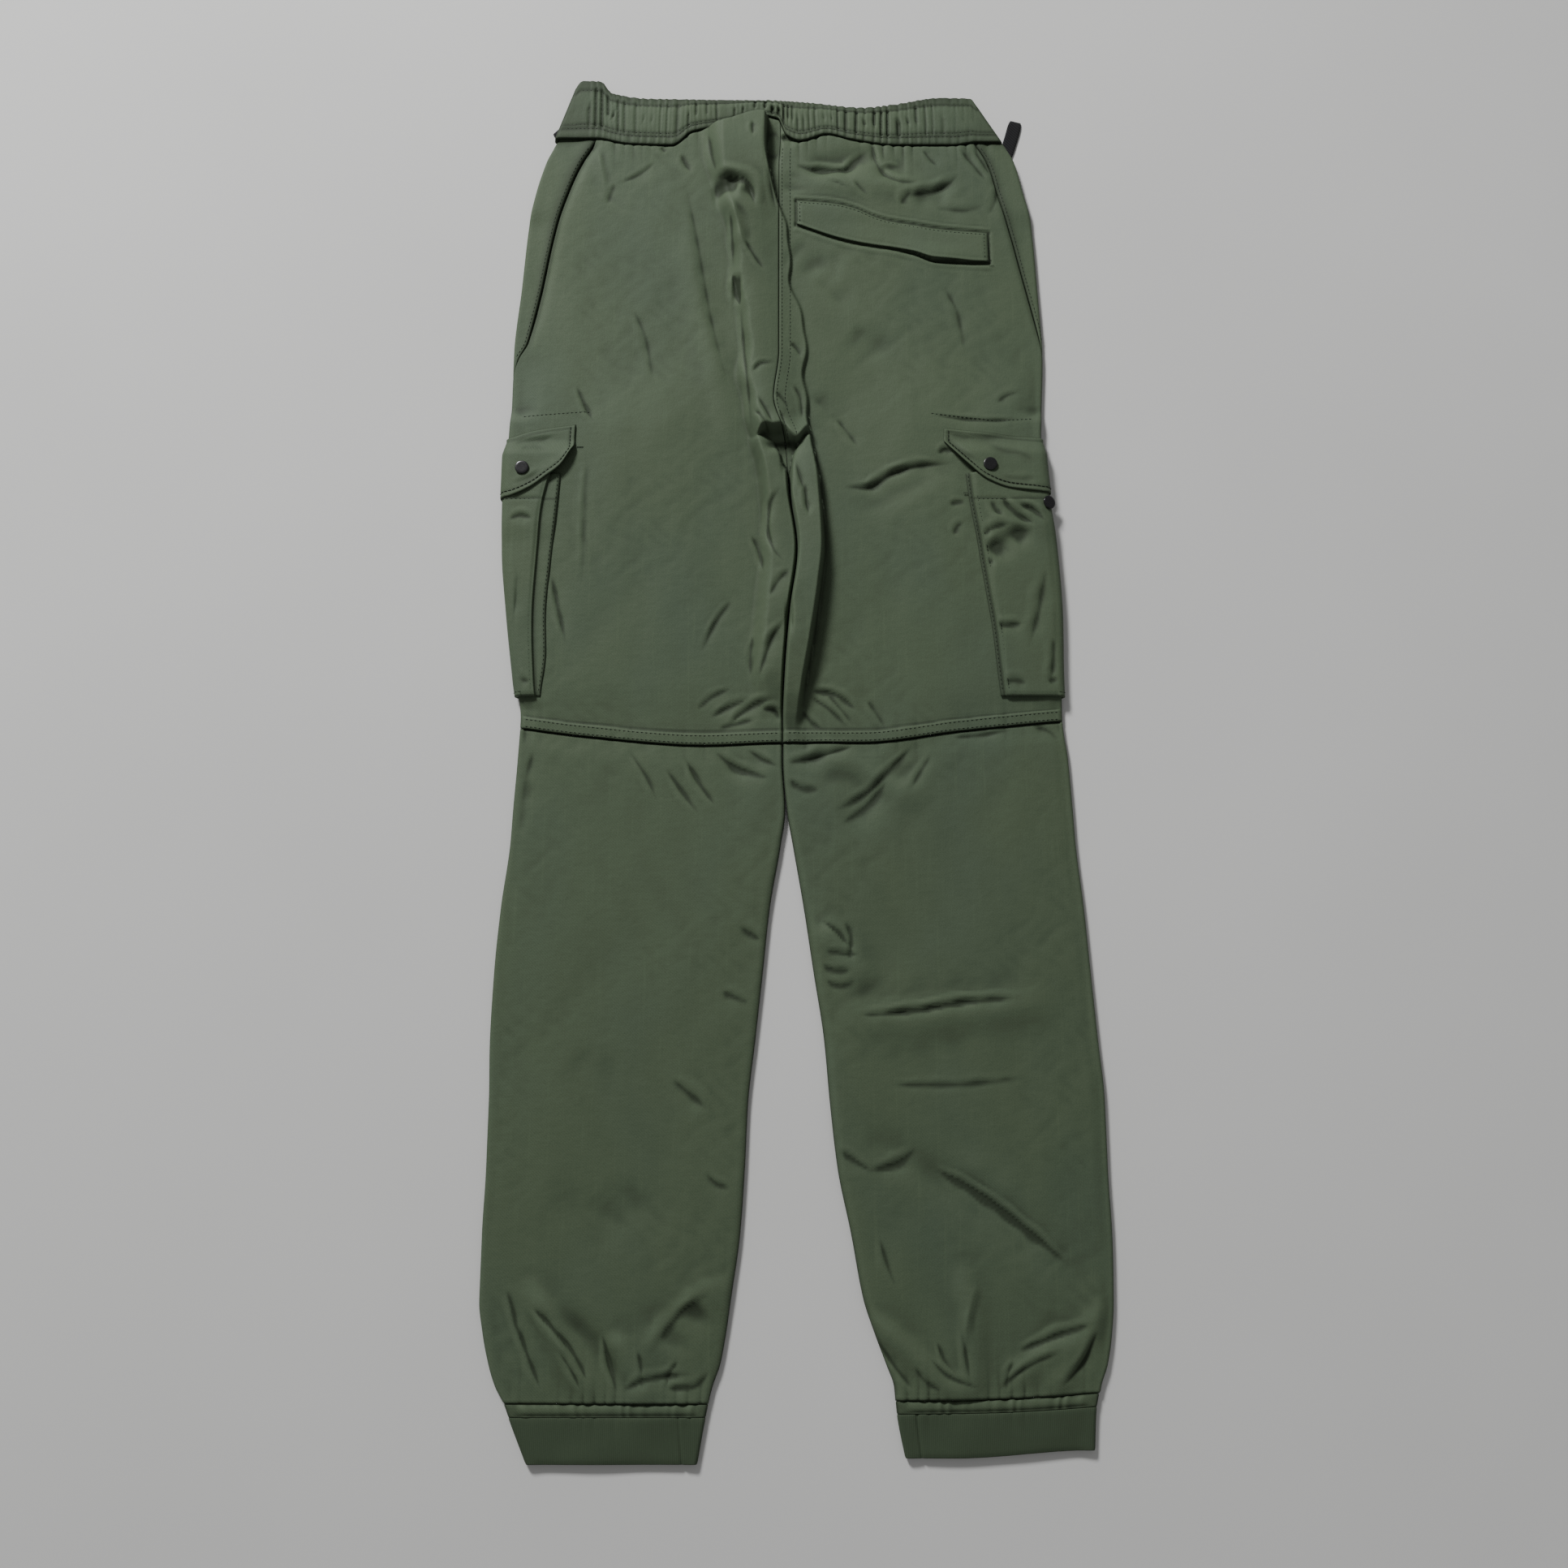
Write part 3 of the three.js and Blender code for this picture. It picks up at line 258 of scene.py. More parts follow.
CENTRE_FOLD = Table(
    ("y", "left", "right", "height", "leftFall", "rightFall"),
    (
        (505, -64, -19, 8, 12, 4), (467, -62, -19, 12, 12, 3), (435, -57, -14, 11, 9, 2.5),
        (400, -48, -4, 9, 8, 2.5), (355, -43, 1, 8, 8, 2.5), (310, -37, 10, 8, 8, 2.5),
        (272, -35, 12, 9, 9, 2.5), (242, -31, 13, 12, 9, 3), (224, -29, 13, 14, 7, 3),
        (216, -28, 13, 2, 7, 4), (208, -28, 13, 0, 7, 4),
    ),
)

RIGHT_LEG_FOLD = Table(
    ("y", "left", "right", "height", "leftFall", "rightFall"),
    (
        (214, 1, 15, 0, 4, 3), (205, 0, 16, 9, 3, 3), (166, 0, 23, 13, 2, 4),
        (128, 3, 25, 15, 2, 5), (97, 0, 22, 16, 2, 5), (56, -4, 16, 15, 2, 5),
        (16, -7, 9, 11, 2, 5), (0, -8, 7, 6, 2, 6), (-14, -8, 5, 1, 2, 6),
        (-30, -8, 5, 0, 2, 6),
    ),
)

LEFT_LEG_FOLD = Table(
    ("y", "left", "right", "height", "leftFall", "rightFall"),
    (
        (214, -30, -2, 0, 6, 3), (203, -28, -1, 10, 6, 2), (185, -23, 0, 11, 7, 2),
        (156, -19, 4, 9, 7, 2), (124, -19, 7, 8, 8, 2), (84, -22, 2, 9, 9, 2),
        (34, -26, -3, 8, 9, 2), (12, -24, -4, 4, 10, 2), (-4, -22, -4, 0, 10, 2),
    ),
)

WELT = Table(
    ("x", "top", "mouth"),
    (
        (WELT_LEFT, 423, 402), (20, 422, 396), (37, 420, 390), (52, 416, 386), (67, 409, 383),
        (79, 405, 381), (97, 402, 377), (114, 399, 371), (132, 397, 370), (146, 396, 369),
        (WELT_RIGHT, 395, 369),
    ),
)

# Raised folds and dips across the cloth, as in the solids: a line, half width and height.
BROAD_FOLDS = (
    (22, 455, 62, 462, 9, -2.4), (20, 440, 110, 436, 11, 2), (60, 165, 120, 196, 10, -1.6),
    (-80, 370, -48, 225, 12, 2), (26, -30, 88, -60, 10, 2), (95, -28, 48, -80, 10, -1.8),
    (55, -222, 172, -212, 12, 2), (84, -318, 186, -388, 13, -2), (24, -160, 50, -195, 10, 2.4),
    (-175, -410, -140, -470, 9, 2.6), (-150, -425, -105, -470, 9, -2),
    (-120, -440, -100, -476, 9, 2.4), (-95, -445, -50, -405, 11, 2.2),
    (60, -430, 112, -474, 9, 2.8), (118, -400, 122, -470, 9, 2.2),
    (150, -462, 186, -438, 9, 2.4), (178, -470, 210, -420, 9, 2.6),
)

# Drawn creases: half width, height (a trough is negative), then the points.
CREASES = (
    # The centre fold, from the waistband down to its end over the crotch.
    (1.8, -1.3, (-66, 482), (-63, 462), (-58, 442)),
    (3.2, -4.6, (-62, 442), (-48, 438), (-35, 434), (-27, 410)),
    (3.2, 2.2, (-47, 422), (-42, 398), (-34, 372)),
    (1.3, -1.2, (-48, 412), (-46, 388), (-45, 362)),
    (2.2, -3.2, (-46, 358), (-42, 344), (-39, 328)),
    (1.5, -1.5, (-36, 384), (-28, 370), (-20, 358)),
    (1.4, -1.2, (-30, 488), (-30, 472)),
    (1.6, -1.3, (-18, 448), (-14, 424), (-10, 406)),
    (3.4, -1.0, (-84, 440), (-74, 390), (-62, 320), (-46, 252)),
    (1.4, -1.2, (-39, 330), (-36, 290), (-32, 250), (-30, 222)),
    (1.4, -1.2, (-30, 270), (-22, 278), (-11, 280)),
    (1.8, -1.9, (-26, 250), (-18, 236), (-12, 222)),
    (1.5, -1.5, (-28, 238), (-20, 228), (-16, 220)),
    (1.5, -1.4, (-12, 254), (-5, 246), (0, 238)),
    (1.4, -1.3, (-8, 238), (-5, 228), (-1, 218)),
    (1.4, -1.3, (-1, 298), (5, 292), (9, 284)),
    (1.4, -1.2, (2, 262), (8, 248), (9, 232)),
    # The seat.
    (2.0, -1.0, (-88, 465), (-83, 454), (-78, 446)),
    (1.6, -0.9, (-108, 457), (-120, 446), (-138, 437)),
    (1.8, -1.1, (-104, 471), (-100, 465)),
    (2.0, 0.7, (-154, 468), (-151, 450), (-147, 430)),
    (2.4, -0.9, (-140, 438), (-146, 418)),
    (2.2, -2.6, (-9, 481), (0, 478), (8, 474)),
    (2.3, -3.8, (4, 455), (20, 450), (44, 450), (52, 458), (62, 468)),
    (4.5, -0.9, (6, 450), (1, 438), (0, 426)),
    (2.0, -1.9, (66, 477), (68, 460), (76, 445), (90, 438), (106, 437)),
    (2.8, -2.8, (94, 427), (112, 430), (126, 437), (136, 448)),
    (2.4, -1.4, (88, 418), (93, 426), (98, 432)),
    (1.4, -0.8, (28, 441), (38, 438), (48, 432)),
    (1.4, -0.8, (50, 440), (57, 432), (63, 425)),
    (1.6, -1.1, (106, 469), (112, 460), (119, 452)),
    (2.0, -1.3, (136, 469), (146, 456), (158, 439)),
    (1.8, -1.3, (147, 470), (155, 456), (162, 444)),
    (2.6, -0.9, (167, 440), (164, 424), (156, 408)),
    (2.0, 0.9, (70, 452), (80, 456), (90, 454)),
    (3.0, -0.8, (114, 416), (138, 414), (158, 421)),
    (7.0, -1.2, (0, 387), (14, 376), (30, 360)),
    (5.0, -0.7, (20, 357), (36, 342), (50, 326)),
    (7.0, -0.9, (46, 312), (64, 300), (78, 286)),
    (4.0, -0.8, (16, 257), (30, 243), (42, 228)),
    (2.2, -1.1, (35, 236), (44, 224), (53, 210)),
    (2.0, -0.8, (158, 246), (168, 254), (180, 258)),
    # The thighs.
    (2.3, -3.2, (40, 179), (58, 178), (80, 190), (100, 195), (124, 197)),
    (1.4, -1.1, (108, 238), (128, 234), (152, 232), (184, 234)),
    (2.0, -1.4, (112, 204), (119, 208), (126, 204)),
    (1.4, -1.0, (120, 164), (134, 166)),
    (2.2, -1.0, (123, 138), (127, 146), (133, 150)),
    (1.6, -1.3, (-166, 262), (-159, 246), (-151, 230)),
    (1.8, 0.7, (-158, 204), (-160, 150), (-159, 96)),
    (1.7, -1.4, (-181, 110), (-175, 84), (-167, 50)),
    (1.5, -1.4, (-44, 88), (-56, 70), (-67, 46)),
    # The folds beside the slit between the legs.
    (1.7, -2.2, (-7, 176), (-16, 160), (-17, 142), (-13, 126), (-4, 114)),
    (2.2, -1.4, (0, 110), (-9, 100), (-17, 86)),
    (2.4, -2.2, (-3, 70), (-12, 58), (-19, 40), (-25, 22)),
    (1.7, -2.0, (11, 178), (12, 164), (14, 148)),
    (1.8, -1.7, (3, 198), (8, 180), (13, 162)),
    # Above and below the knee seam.
    (2.2, -2.1, (-46, -9), (-34, 1), (-22, 8), (-10, 11)),
    (1.9, -1.5, (-60, -4), (-44, 5), (-28, 12)),
    (1.6, -1.2, (-54, -12), (-38, -8), (-24, -4)),
    (2.0, -2.0, (-22, 3), (-12, 1), (-8, -8)),
    (2.0, -2.0, (14, 17), (32, 14), (50, 0)),
    (1.5, -1.2, (14, 13), (29, 2), (44, -13)),
    (1.7, -1.5, (8, 2), (15, -7), (24, -14)),
    (1.4, -1.0, (26, 16), (37, 2), (47, -11)),
    (3.0, -3.2, (-4, -38), (12, -36), (30, -31), (48, -25)),
    (1.9, -1.8, (90, -25), (74, -42), (54, -62), (28, -75)),
    (1.7, -1.3, (72, -50), (56, -70), (36, -84)),
    (2.2, -1.7, (-2, -50), (10, -58), (22, -58)),
    (1.8, -1.6, (-78, -34), (-68, -52), (-54, -72)),
    (1.6, -1.3, (-92, -42), (-78, -62), (-66, -78)),
    (2.3, -2.2, (-56, -30), (-38, -43), (-14, -50)),
    (1.8, -1.4, (-32, -28), (-20, -36), (-8, -41)),
    (3.2, -1.4, (-187, -22), (-195, -55), (-198, -100)),
    (2.2, -1.1, (178, -10), (190, -14), (200, -24)),
    (1.4, -1.0, (118, -19), (140, -17), (166, -12)),
    # The right calf.
    (1.8, -2.0, (22, -154), (34, -164), (46, -179)),
    (1.6, -1.6, (24, -175), (36, -178), (50, -179)),
    (1.6, -1.5, (22, -186), (32, -190), (44, -190)),
    (1.5, -1.3, (38, -154), (43, -168), (41, -185)),
    (1.5, -1.1, (24, -197), (35, -201), (47, -197)),
    (2.0, -2.8, (44, -222), (84, -219), (128, -212), (172, -209)),
    (1.7, -0.8, (64, -270), (110, -270), (170, -264)),
    (8.0, -0.5, (54, -255), (90, -248), (140, -236)),
    (2.4, -2.0, (54, -328), (72, -325), (88, -312)),
    (2.0, -1.2, (32, -314), (44, -322), (58, -330)),
    (1.8, -3.2, (98, -326), (128, -343), (158, -365), (190, -391)),
    (5.0, 0.7, (106, -314), (136, -330), (172, -356)),
    # The left calf.
    (2.6, -1.0, (-38, -158), (-28, -165), (-18, -170)),
    (2.2, -0.9, (-50, -205), (-38, -210), (-28, -213)),
    (3.0, -1.1, (-84, -266), (-72, -276), (-58, -288)),
    (9.0, -0.5, (-156, -244), (-136, -258), (-104, -262)),
    (9.0, -0.6, (-100, -336), (-124, -358), (-146, -380)),
    # Over the cuffs.
    (1.9, -2.7, (-178, -416), (-160, -434), (-146, -450), (-134, -472)),
    (1.8, -1.7, (-188, -426), (-179, -448), (-167, -475)),
    (1.7, -1.3, (-194, -407), (-189, -422), (-185, -440)),
    (1.6, -1.3, (-157, -446), (-147, -461), (-140, -475)),
    (1.7, -1.9, (-128, -436), (-123, -455), (-117, -475)),
    (4.4, -2.6, (-98, -452), (-74, -428), (-45, -404)),
    (1.5, -1.1, (-90, -440), (-70, -418), (-52, -408)),
    (2.0, -1.6, (-114, -472), (-96, -465), (-66, -461)),
    (2.0, -1.5, (-86, -471), (-66, -470), (-53, -458)),
    (2.2, -2.3, (50, -428), (66, -452), (84, -474)),
    (1.7, -1.5, (92, -450), (106, -463), (128, -471)),
    (1.6, -1.1, (82, -456), (90, -466), (102, -473)),
    (2.2, 1.2, (126, -402), (119, -426), (115, -452)),
    (1.7, -1.4, (115, -432), (118, -452), (121, -472)),
    (2.1, -2.4, (153, -447), (178, -438), (206, -428)),
    (2.3, -2.6, (208, -432), (198, -453), (181, -471)),
    (1.7, -1.5, (139, -472), (159, -457), (184, -446)),
    (1.4, -1.0, (-104, -446), (-101, -460), (-100, -474)),
    (1.4, -1.0, (-76, -452), (-82, -462), (-86, -474)),
    (1.4, -1.0, (150, -452), (146, -462), (144, -474)),
    (1.4, -1.0, (98, -440), (104, -454), (116, -466)),
    (1.8, -0.9, (60, -372), (66, -392), (72, -408)),
    # Faint ones elsewhere.
    (1.5, -1.2, (-30, 140), (-24, 126), (-20, 108)),
    (1.4, -1.0, (-28, 60), (-30, 44), (-30, 26)),
    (1.6, -1.0, (-70, 2), (-58, 12), (-42, 20)),
    (1.5, -0.9, (56, 10), (64, -2), (70, -12)),
    (1.5, -0.8, (-118, -30), (-104, -52), (-96, -70)),
    (1.6, -0.9, (104, -30), (92, -50), (84, -64)),
    (1.8, -0.8, (-60, -330), (-50, -338), (-40, -340)),
    (2.6, -0.8, (-124, 330), (-112, 300), (-106, 262)),
    (2.6, -0.8, (120, 350), (132, 322), (136, 290)),
)

# Creases on the hidden underside, like those that show.
FRONT_CREASES = (
    (2.6, -1.0, (-150, 466), (-132, 448), (-108, 438)),
    (2.4, -0.9, (-96, 470), (-88, 446), (-70, 428)),
    (2.6, -1.1, (-44, 462), (-30, 440), (-16, 430)),
    (2.6, -1.0, (18, 452), (44, 444), (72, 450)),
    (2.4, -0.9, (86, 470), (98, 448), (118, 434)),
    (2.4, -0.9, (140, 466), (150, 446), (166, 430)),
    (3.2, -1.1, (-14, 246), (-44, 262), (-84, 268)),
    (3.2, -1.1, (-12, 226), (-40, 216), (-70, 196)),
    (3.2, -1.1, (10, 244), (38, 262), (70, 272)),
    (3.2, -1.0, (8, 222), (34, 208), (58, 184)),
    (2.6, -0.9, (-108, 300), (-122, 262), (-130, 226)),
    (2.6, -0.9, (92, 320), (104, 284), (112, 246)),
    (2.6, -0.9, (-92, 96), (-70, 112), (-40, 116)),
    (2.6, -0.9, (36, 80), (62, 92), (94, 90)),
    (2.6, -1.0, (-96, -2), (-70, 14), (-36, 20)),
    (2.6, -1.0, (26, 6), (58, 22), (96, 18)),
    (2.8, -1.1, (-80, -34), (-58, -58), (-24, -72)),
    (2.6, -1.0, (-150, -40), (-124, -58), (-104, -88)),
    (2.8, -1.1, (90, -36), (66, -60), (30, -76)),
    (2.6, -0.9, (158, -44), (140, -70), (132, -104)),
    (3.2, -1.0, (-60, -196), (-96, -204), (-140, -198)),
    (3.0, -0.9, (-70, -300), (-108, -318), (-150, -346)),
    (3.2, -1.0, (60, -186), (100, -198), (150, -192)),
    (3.0, -1.1, (84, -296), (124, -318), (170, -352)),
    (2.4, -1.1, (-180, -424), (-160, -446), (-146, -470)),
    (2.4, -1.0, (-128, -430), (-120, -450), (-116, -470)),
    (2.4, -1.1, (-74, -424), (-90, -448), (-98, -470)),
    (2.4, -1.1, (76, -424), (96, -446), (106, -470)),
    (2.4, -1.0, (136, -430), (140, -450), (138, -470)),
    (2.4, -1.1, (196, -424), (180, -446), (172, -468)),
)

# Hollows: middle, half sizes and depth.
HOLLOWS = (
    (-51, 431, 9, 8, 5.2), (-42, 345, 3.5, 10, 3.0), (-14, 474, 6, 15, 4.5),
    (-6, 211, 12, 5, 5), (-3, 201, 4, 9, 6), (-1, 70, 3, 9, 3.0), (24, 366, 14, 12, 0.8),
    (66, 300, 20, 14, 0.7), (-120, -350, 40, 16, 0.8), (112, 425, 12, 9, 1.2),
    (82, 452, 9, 8, 1.2), (40, -46, 16, 9, 1.0), (-34, -40, 12, 8, 1.2),
    (66, -306, 14, 10, 0.5), (-80, -425, 22, 12, 1.0),
)

# Cargo pockets. Places across are distances round the side from the leg's outermost edge.
# Under is how far a pocket reaches round beneath, clear how far across it lifts the leg, and
# rise how thick its folded bellows is; top and low are the flap's seam and its free edge.
POCKETS = {
    LEFT: {
        "bottom": 12, "mouth": 188, "under": 98, "clear": 117, "rise": 3.4,
        "seam": Table(
            ("y", "at", "face"),
            (
                (12, 18, 15), (45, 26, 17), (78, 29, 20), (119, 36, 26), (161, 41, 30),
                (190, 43, 36),
            ),
        ),
        "top": Table(("at", "y"), ((-113, 222), (-30, 216), (0, 218), (20, 224), (53, 229))),
        "low": Table(
            ("at", "y"),
            (
                (-113, 210), (-103, 193), (-92, 184), (-80, 175), (-67, 169), (-30, 162),
                (7, 169), (20, 175), (32, 184), (43, 193), (53, 210),
            ),
        ),
    },
    RIGHT: {
        "bottom": 12, "mouth": 188, "under": 78, "clear": 92, "rise": 2.6,
        "seam": Table(
            ("y", "at", "face"),
            ((12, 47, 44), (59, 52, 49), (97, 57, 54), (135, 60, 57), (190, 62, 59)),
        ),
        "top": Table(("at", "y"), ((-87, 222), (-5, 218), (11, 219), (77, 226))),
        "low": Table(
            ("at", "y"),
            (
                (-87, 212), (-72, 197), (-56, 182), (-38, 175), (-5, 172), (28, 175),
                (46, 182), (62, 197), (77, 214),
            ),
        ),
    },
}

# Creases on the pockets' faces and on the flaps, written like those of the panels.
POCKET_CREASES = (
    (2.2, -2.6, (160, 168), (168, 158), (178, 150), (188, 146)),
    (2.0, -2.2, (172, 163), (184, 158), (194, 148)),
    (1.8, -1.4, (152, 166), (155, 158), (162, 152)),
    (4.0, -2.8, (142, 126), (156, 129), (168, 138), (192, 143)),
    (2.4, -1.5, (142, 136), (156, 144), (170, 147)),
    (2.0, -1.2, (144, 116), (154, 117)),
    (2.2, -2.0, (148, 70), (160, 66), (174, 68)),
    (1.8, -1.0, (150, 48), (158, 49)),
    (3.0, -1.2, (192, 112), (186, 80), (176, 46)),
    (2.2, -1.4, (196, 58), (195, 36), (190, 18)),
    (3.0, -1.4, (154, 22), (166, 23), (176, 21)),
    (2.0, -1.0, (190, 22), (200, 26)),
    (1.8, -1.2, (-214, 150), (-204, 153), (-194, 150)),
    (2.2, -1.0, (-212, 60), (-206, 80), (-205, 110)),
    (2.4, -1.2, (-206, 28), (-199, 24), (-192, 22)),
)
FLAP_CREASES = (
    (1.8, -1.3, (114, 222), (140, 217), (168, 219), (190, 217)),
    (1.8, -1.3, (150, 213), (162, 206), (176, 203), (190, 193)),
    (1.6, -1.0, (118, 220), (128, 208), (140, 198), (152, 192)),
    (1.6, -0.9, (160, 184), (176, 182), (190, 184)),
    (1.6, -1.2, (-214, 213), (-196, 215), (-176, 219)),
    (1.6, -0.9, (-208, 208), (-196, 209), (-184, 206)),
    (1.8, -0.9, (-212, 178), (-200, 182), (-188, 190)),
)

# Gathers on the upper side of the waistband: pitch and depth at places across.
GATHERS = Table(
    ("x", "pitch", "depth"),
    (
        (-190, 12, 0.0), (-166, 9, 0.1), (-158, 5, 0.9), (-146, 4.6, 1.2), (-130, 6.5, 1.1),
        (-80, 7.5, 0.9), (-62, 10, 0.45), (-24, 9, 0.6), (-14, 4.2, 1.3), (14, 4.4, 1.3),
        (30, 6.6, 1.1), (90, 7.0, 1.1), (112, 7.5, 0.7), (146, 8, 0.5), (158, 8, 0.1),
        (171, 9, 0.0),
    ),
)

# Where the waistband ends across, at its seam and at its upper edge.
BAND_ENDS = {"bottomLeft": -190, "bottomRight": 171, "topLeft": -174, "topRight": 151}

# The drawstring's two ends, from the front of the waistband to their free tips.
TAPE_ROUTES = {
    "drawstring_left": (
        (-14, 492), (-35, 478), (-65, 466), (-100, 459), (-130, 459), (-155, 465),
        (-173, 475), (-189, 490),
    ),
    "drawstring_right": (
        (14, 492), (32, 478), (58, 464), (90, 452), (120, 445), (144, 444), (161, 451),
        (172, 464), (178, 480), (183, 498),
    ),
}

# Snap caps: node, side, distance round the side, height, and whether it sits on the flap.
SNAPS = (
    ("flap_snap_left", LEFT, 14, 191, True),
    ("flap_snap_right", RIGHT, 43, 194, True),
    ("pocket_stud_right", RIGHT, 2.6, 164, False),
)

# Places in the tables become places in the frame: millimetres to metres, about its middle.
RIGHTMOST_X = 220.915
CUFF_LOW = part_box("cuff_left")[0].y * 1000
LEG_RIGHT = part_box("back_lower_right")[1].x * 1000
MIDDLE_Y = CUFF_BOTTOM_Y - CUFF_LOW
MIDDLE_X = RIGHTMOST_X - LEG_RIGHT


def placed(points):
    """Millimetre places in the tables, as metres in the frame."""
    points = np.asarray(points, float).reshape(-1, 3)
    return (points - (MIDDLE_X, MIDDLE_Y, 0)) / 1000


def distances(points):
    """The way along a line from its first point to each of its points."""
    return np.concatenate([[0], np.cumsum(np.linalg.norm(np.diff(points, axis=0), axis=1))])


def resampled(line, far, places):
    """The (x, y) places at given distances along a line."""
    return np.stack([np.interp(places, far, line[:, k]) for k in (0, 1)], axis=1)


def leg_edges(side, y):
    if side == LEFT:
        return OUTLINE.at("leftOuter", y), OUTLINE.at("leftInner", y) - SEAM_HALF_GAP
    return OUTLINE.at("rightOuter", y), OUTLINE.at("rightInner", y) + SEAM_HALF_GAP


def lift(side, from_edge, y):
    pocket = POCKETS[side]
    waist = WAIST_LIFT * smooth((y - 398) / 18)
    across = 1 - smooth((from_edge - pocket["clear"]) / LIFT_RAMP)
    below = 1 - smooth((y - 230) / 14)
    body = (POCKET_CLOTH + GAP) * smooth((y - 2) / (pocket["bottom"] - 2))
    flap = (FLAP_CLOTH + GAP) * smooth((y - 128) / 22)
    return waist + (body + flap) * below * across


def soft_lift(side, from_edge, y):
    """The same rise as it shows on the upper cloth, which spans the steps softly."""
    pocket = POCKETS[side]
    waist = WAIST_LIFT * smooth((y - 330) / 130)
    across = 1 - smooth((from_edge - pocket["clear"] + 12) / 75)
    below = 1 - smooth((y - 224) / 70)
    body = (POCKET_CLOTH + GAP) * smooth((y + 14) / 40)
    flap = (FLAP_CLOTH + GAP) * smooth((y - 90) / 110)
    spread = waist + (body + flap) * below * across
    return mix(lift(side, from_edge, y), spread, smooth((from_edge - EDGE_RADIUS) / 26))


def ridge(table, x, y, soften=1.0):
    inside = (y <= table.key[-1]) & (y >= table.key[0])
    rise = smooth((x - table.at("left", y)) / (soften * table.at("leftFall", y)) + 0.5)
    drop = smooth((table.at("right", y) - x) / table.at("rightFall", y) + 0.5)
    return np.where(inside, table.at("height", y) * rise * drop, 0)


def fold_taper(x, y):
    """The centre fold leans: it is lower beside the seam than at its left."""
    left, right = CENTRE_FOLD.at("left", y), CENTRE_FOLD.at("right", y)
    across = smooth((x - left - 8) / (right - left - 8))
    return 1 - 0.62 * across * smooth((452 - y) / 50) * smooth((y - 214) / 24)


def broad_fold(fold, x, y):
    x0, y0, x1, y1, half, height = fold
    length = math.hypot(x1 - x0, y1 - y0)
    t = ((x - x0) * (x1 - x0) + (y - y0) * (y1 - y0)) / length ** 2
    off = ((x - x0) * (y1 - y0) - (y - y0) * (x1 - x0)) / length
    return height * smooth((t + 0.25) / 0.4) * smooth((1.25 - t) / 0.4) * bell(off / half)


def soft_line(points, count=6):
    """A listed crease's points with its corners eased."""
    p = np.array(points, float)
    t = distances(p)
    curve = [Table(("t", "v"), list(zip(t, p[:, k]))) for k in (0, 1)]
    places = np.linspace(0, t[-1], count * (len(p) - 1) + 1)
    return np.stack([c.at("v", places) for c in curve], axis=1), t[-1]


def creases(table, x, y):
    """Troughs and ridges: steep on one side, soft on the other, with a low bank beside them."""
    total = np.zeros(np.broadcast(x, y).shape)
    x, y = np.broadcast_arrays(x, y)
    for half, height, *points in table:
        line, length = soft_line(points)
        low, high = line.min(0) - 6 * half, line.max(0) + 6 * half
        near = (x > low[0]) & (x < high[0]) & (y > low[1]) & (y < high[1])
        if not near.any():
            continue
        px, py = x[near], y[near]
        best = np.full(px.shape, 1e9)
        off = np.zeros(px.shape)
        along = np.zeros(px.shape)
        step = length / (len(line) - 1)
        for i in range(len(line) - 1):
            a, b = line[i], line[i + 1]
            d = b - a
            size = max(math.hypot(*d), 1e-6)
            t = clamp(((px - a[0]) * d[0] + (py - a[1]) * d[1]) / size ** 2, 0, 1)
            distance = np.hypot(px - a[0] - t * d[0], py - a[1] - t * d[1])
            side = np.sign((px - a[0]) * d[1] - (py - a[1]) * d[0])
            closer = distance < best
            best = np.where(closer, distance, best)
            off = np.where(closer, distance * side, off)
            along = np.where(closer, (i + t) * step, along)
        share = along / length
        ends = smooth(share / 0.28) * smooth((1 - share) / 0.4)
        ends = ends * (0.88 + 0.22 * np.sin(along / 3.7 + 9 * half))
        middle = np.sin(math.pi * clamp(0.1 + 0.8 * share, 0, 1))
        width = half * (0.45 + 0.75 * middle + 0.12 * np.sin(along / 5.1 + line[0][0]))
        run = line[-1] - line[0]
        lit = 1 if -run[1] - run[0] > 0 else -1
        u = off * lit / width * (1 if height < 0 else -1)
        if half < BROAD_CREASE:
            steep = np.exp(-np.abs(np.maximum(u, 0) / 0.75) ** 1.4)
            soft = 0.6 * np.exp(-np.abs(u) / 0.8) + 0.4 * bell(u / 2.2)
        else:
            steep = bell(u / 1.2)
            soft = bell(u / 2.2)
        profile = np.where(u > 0, steep, soft) - 0.24 * bell((u - 1.9) / 1.1)
        total[near] += height * ends * profile
    return total


def hollows(x, y):
    total = 0
    for middle_x, middle_y, half_x, half_y, depth in HOLLOWS:
        across = (x - middle_x) / half_x
        down = (y - middle_y) / half_y
        total = total - depth * np.exp(-across ** 4 - down ** 2)
    return total


def drape(x, y):
    """Broad, low unevenness of cloth that was smoothed out by hand."""
    total = 0.55 * np.sin(x / 31 + 1.7 * np.sin(y / 83) + 0.6) * np.sin(y / 57 + 0.9)
    total = total + 0.32 * np.sin(x / 15 - y / 49 + 1.3 * np.sin(y / 37 + 2)) * np.sin(y / 44 + 2.2)
    total = total + 0.14 * np.sin(x / 6.1 + 1.9 * np.sin(y / 23)) * np.sin(y / 19 + x / 29)
    return total


def crumple(x, y):
    """Fine unevenness, stronger in patches."""
    patch = smooth(0.5 + 0.9 * np.sin(x / 37 + 2 * np.sin(y / 61)) * np.sin(y / 47 + 1.1))
    total = np.sin(x / 2.9 + 2 * np.sin(y / 7.3)) * np.sin(y / 3.7 + 1.5 * np.sin(x / 8.1))
    total = total + 0.8 * np.sin(x / 4.3 - y / 5.1 + 1.2 * np.sin(y / 11))
    return 0.07 * patch * total


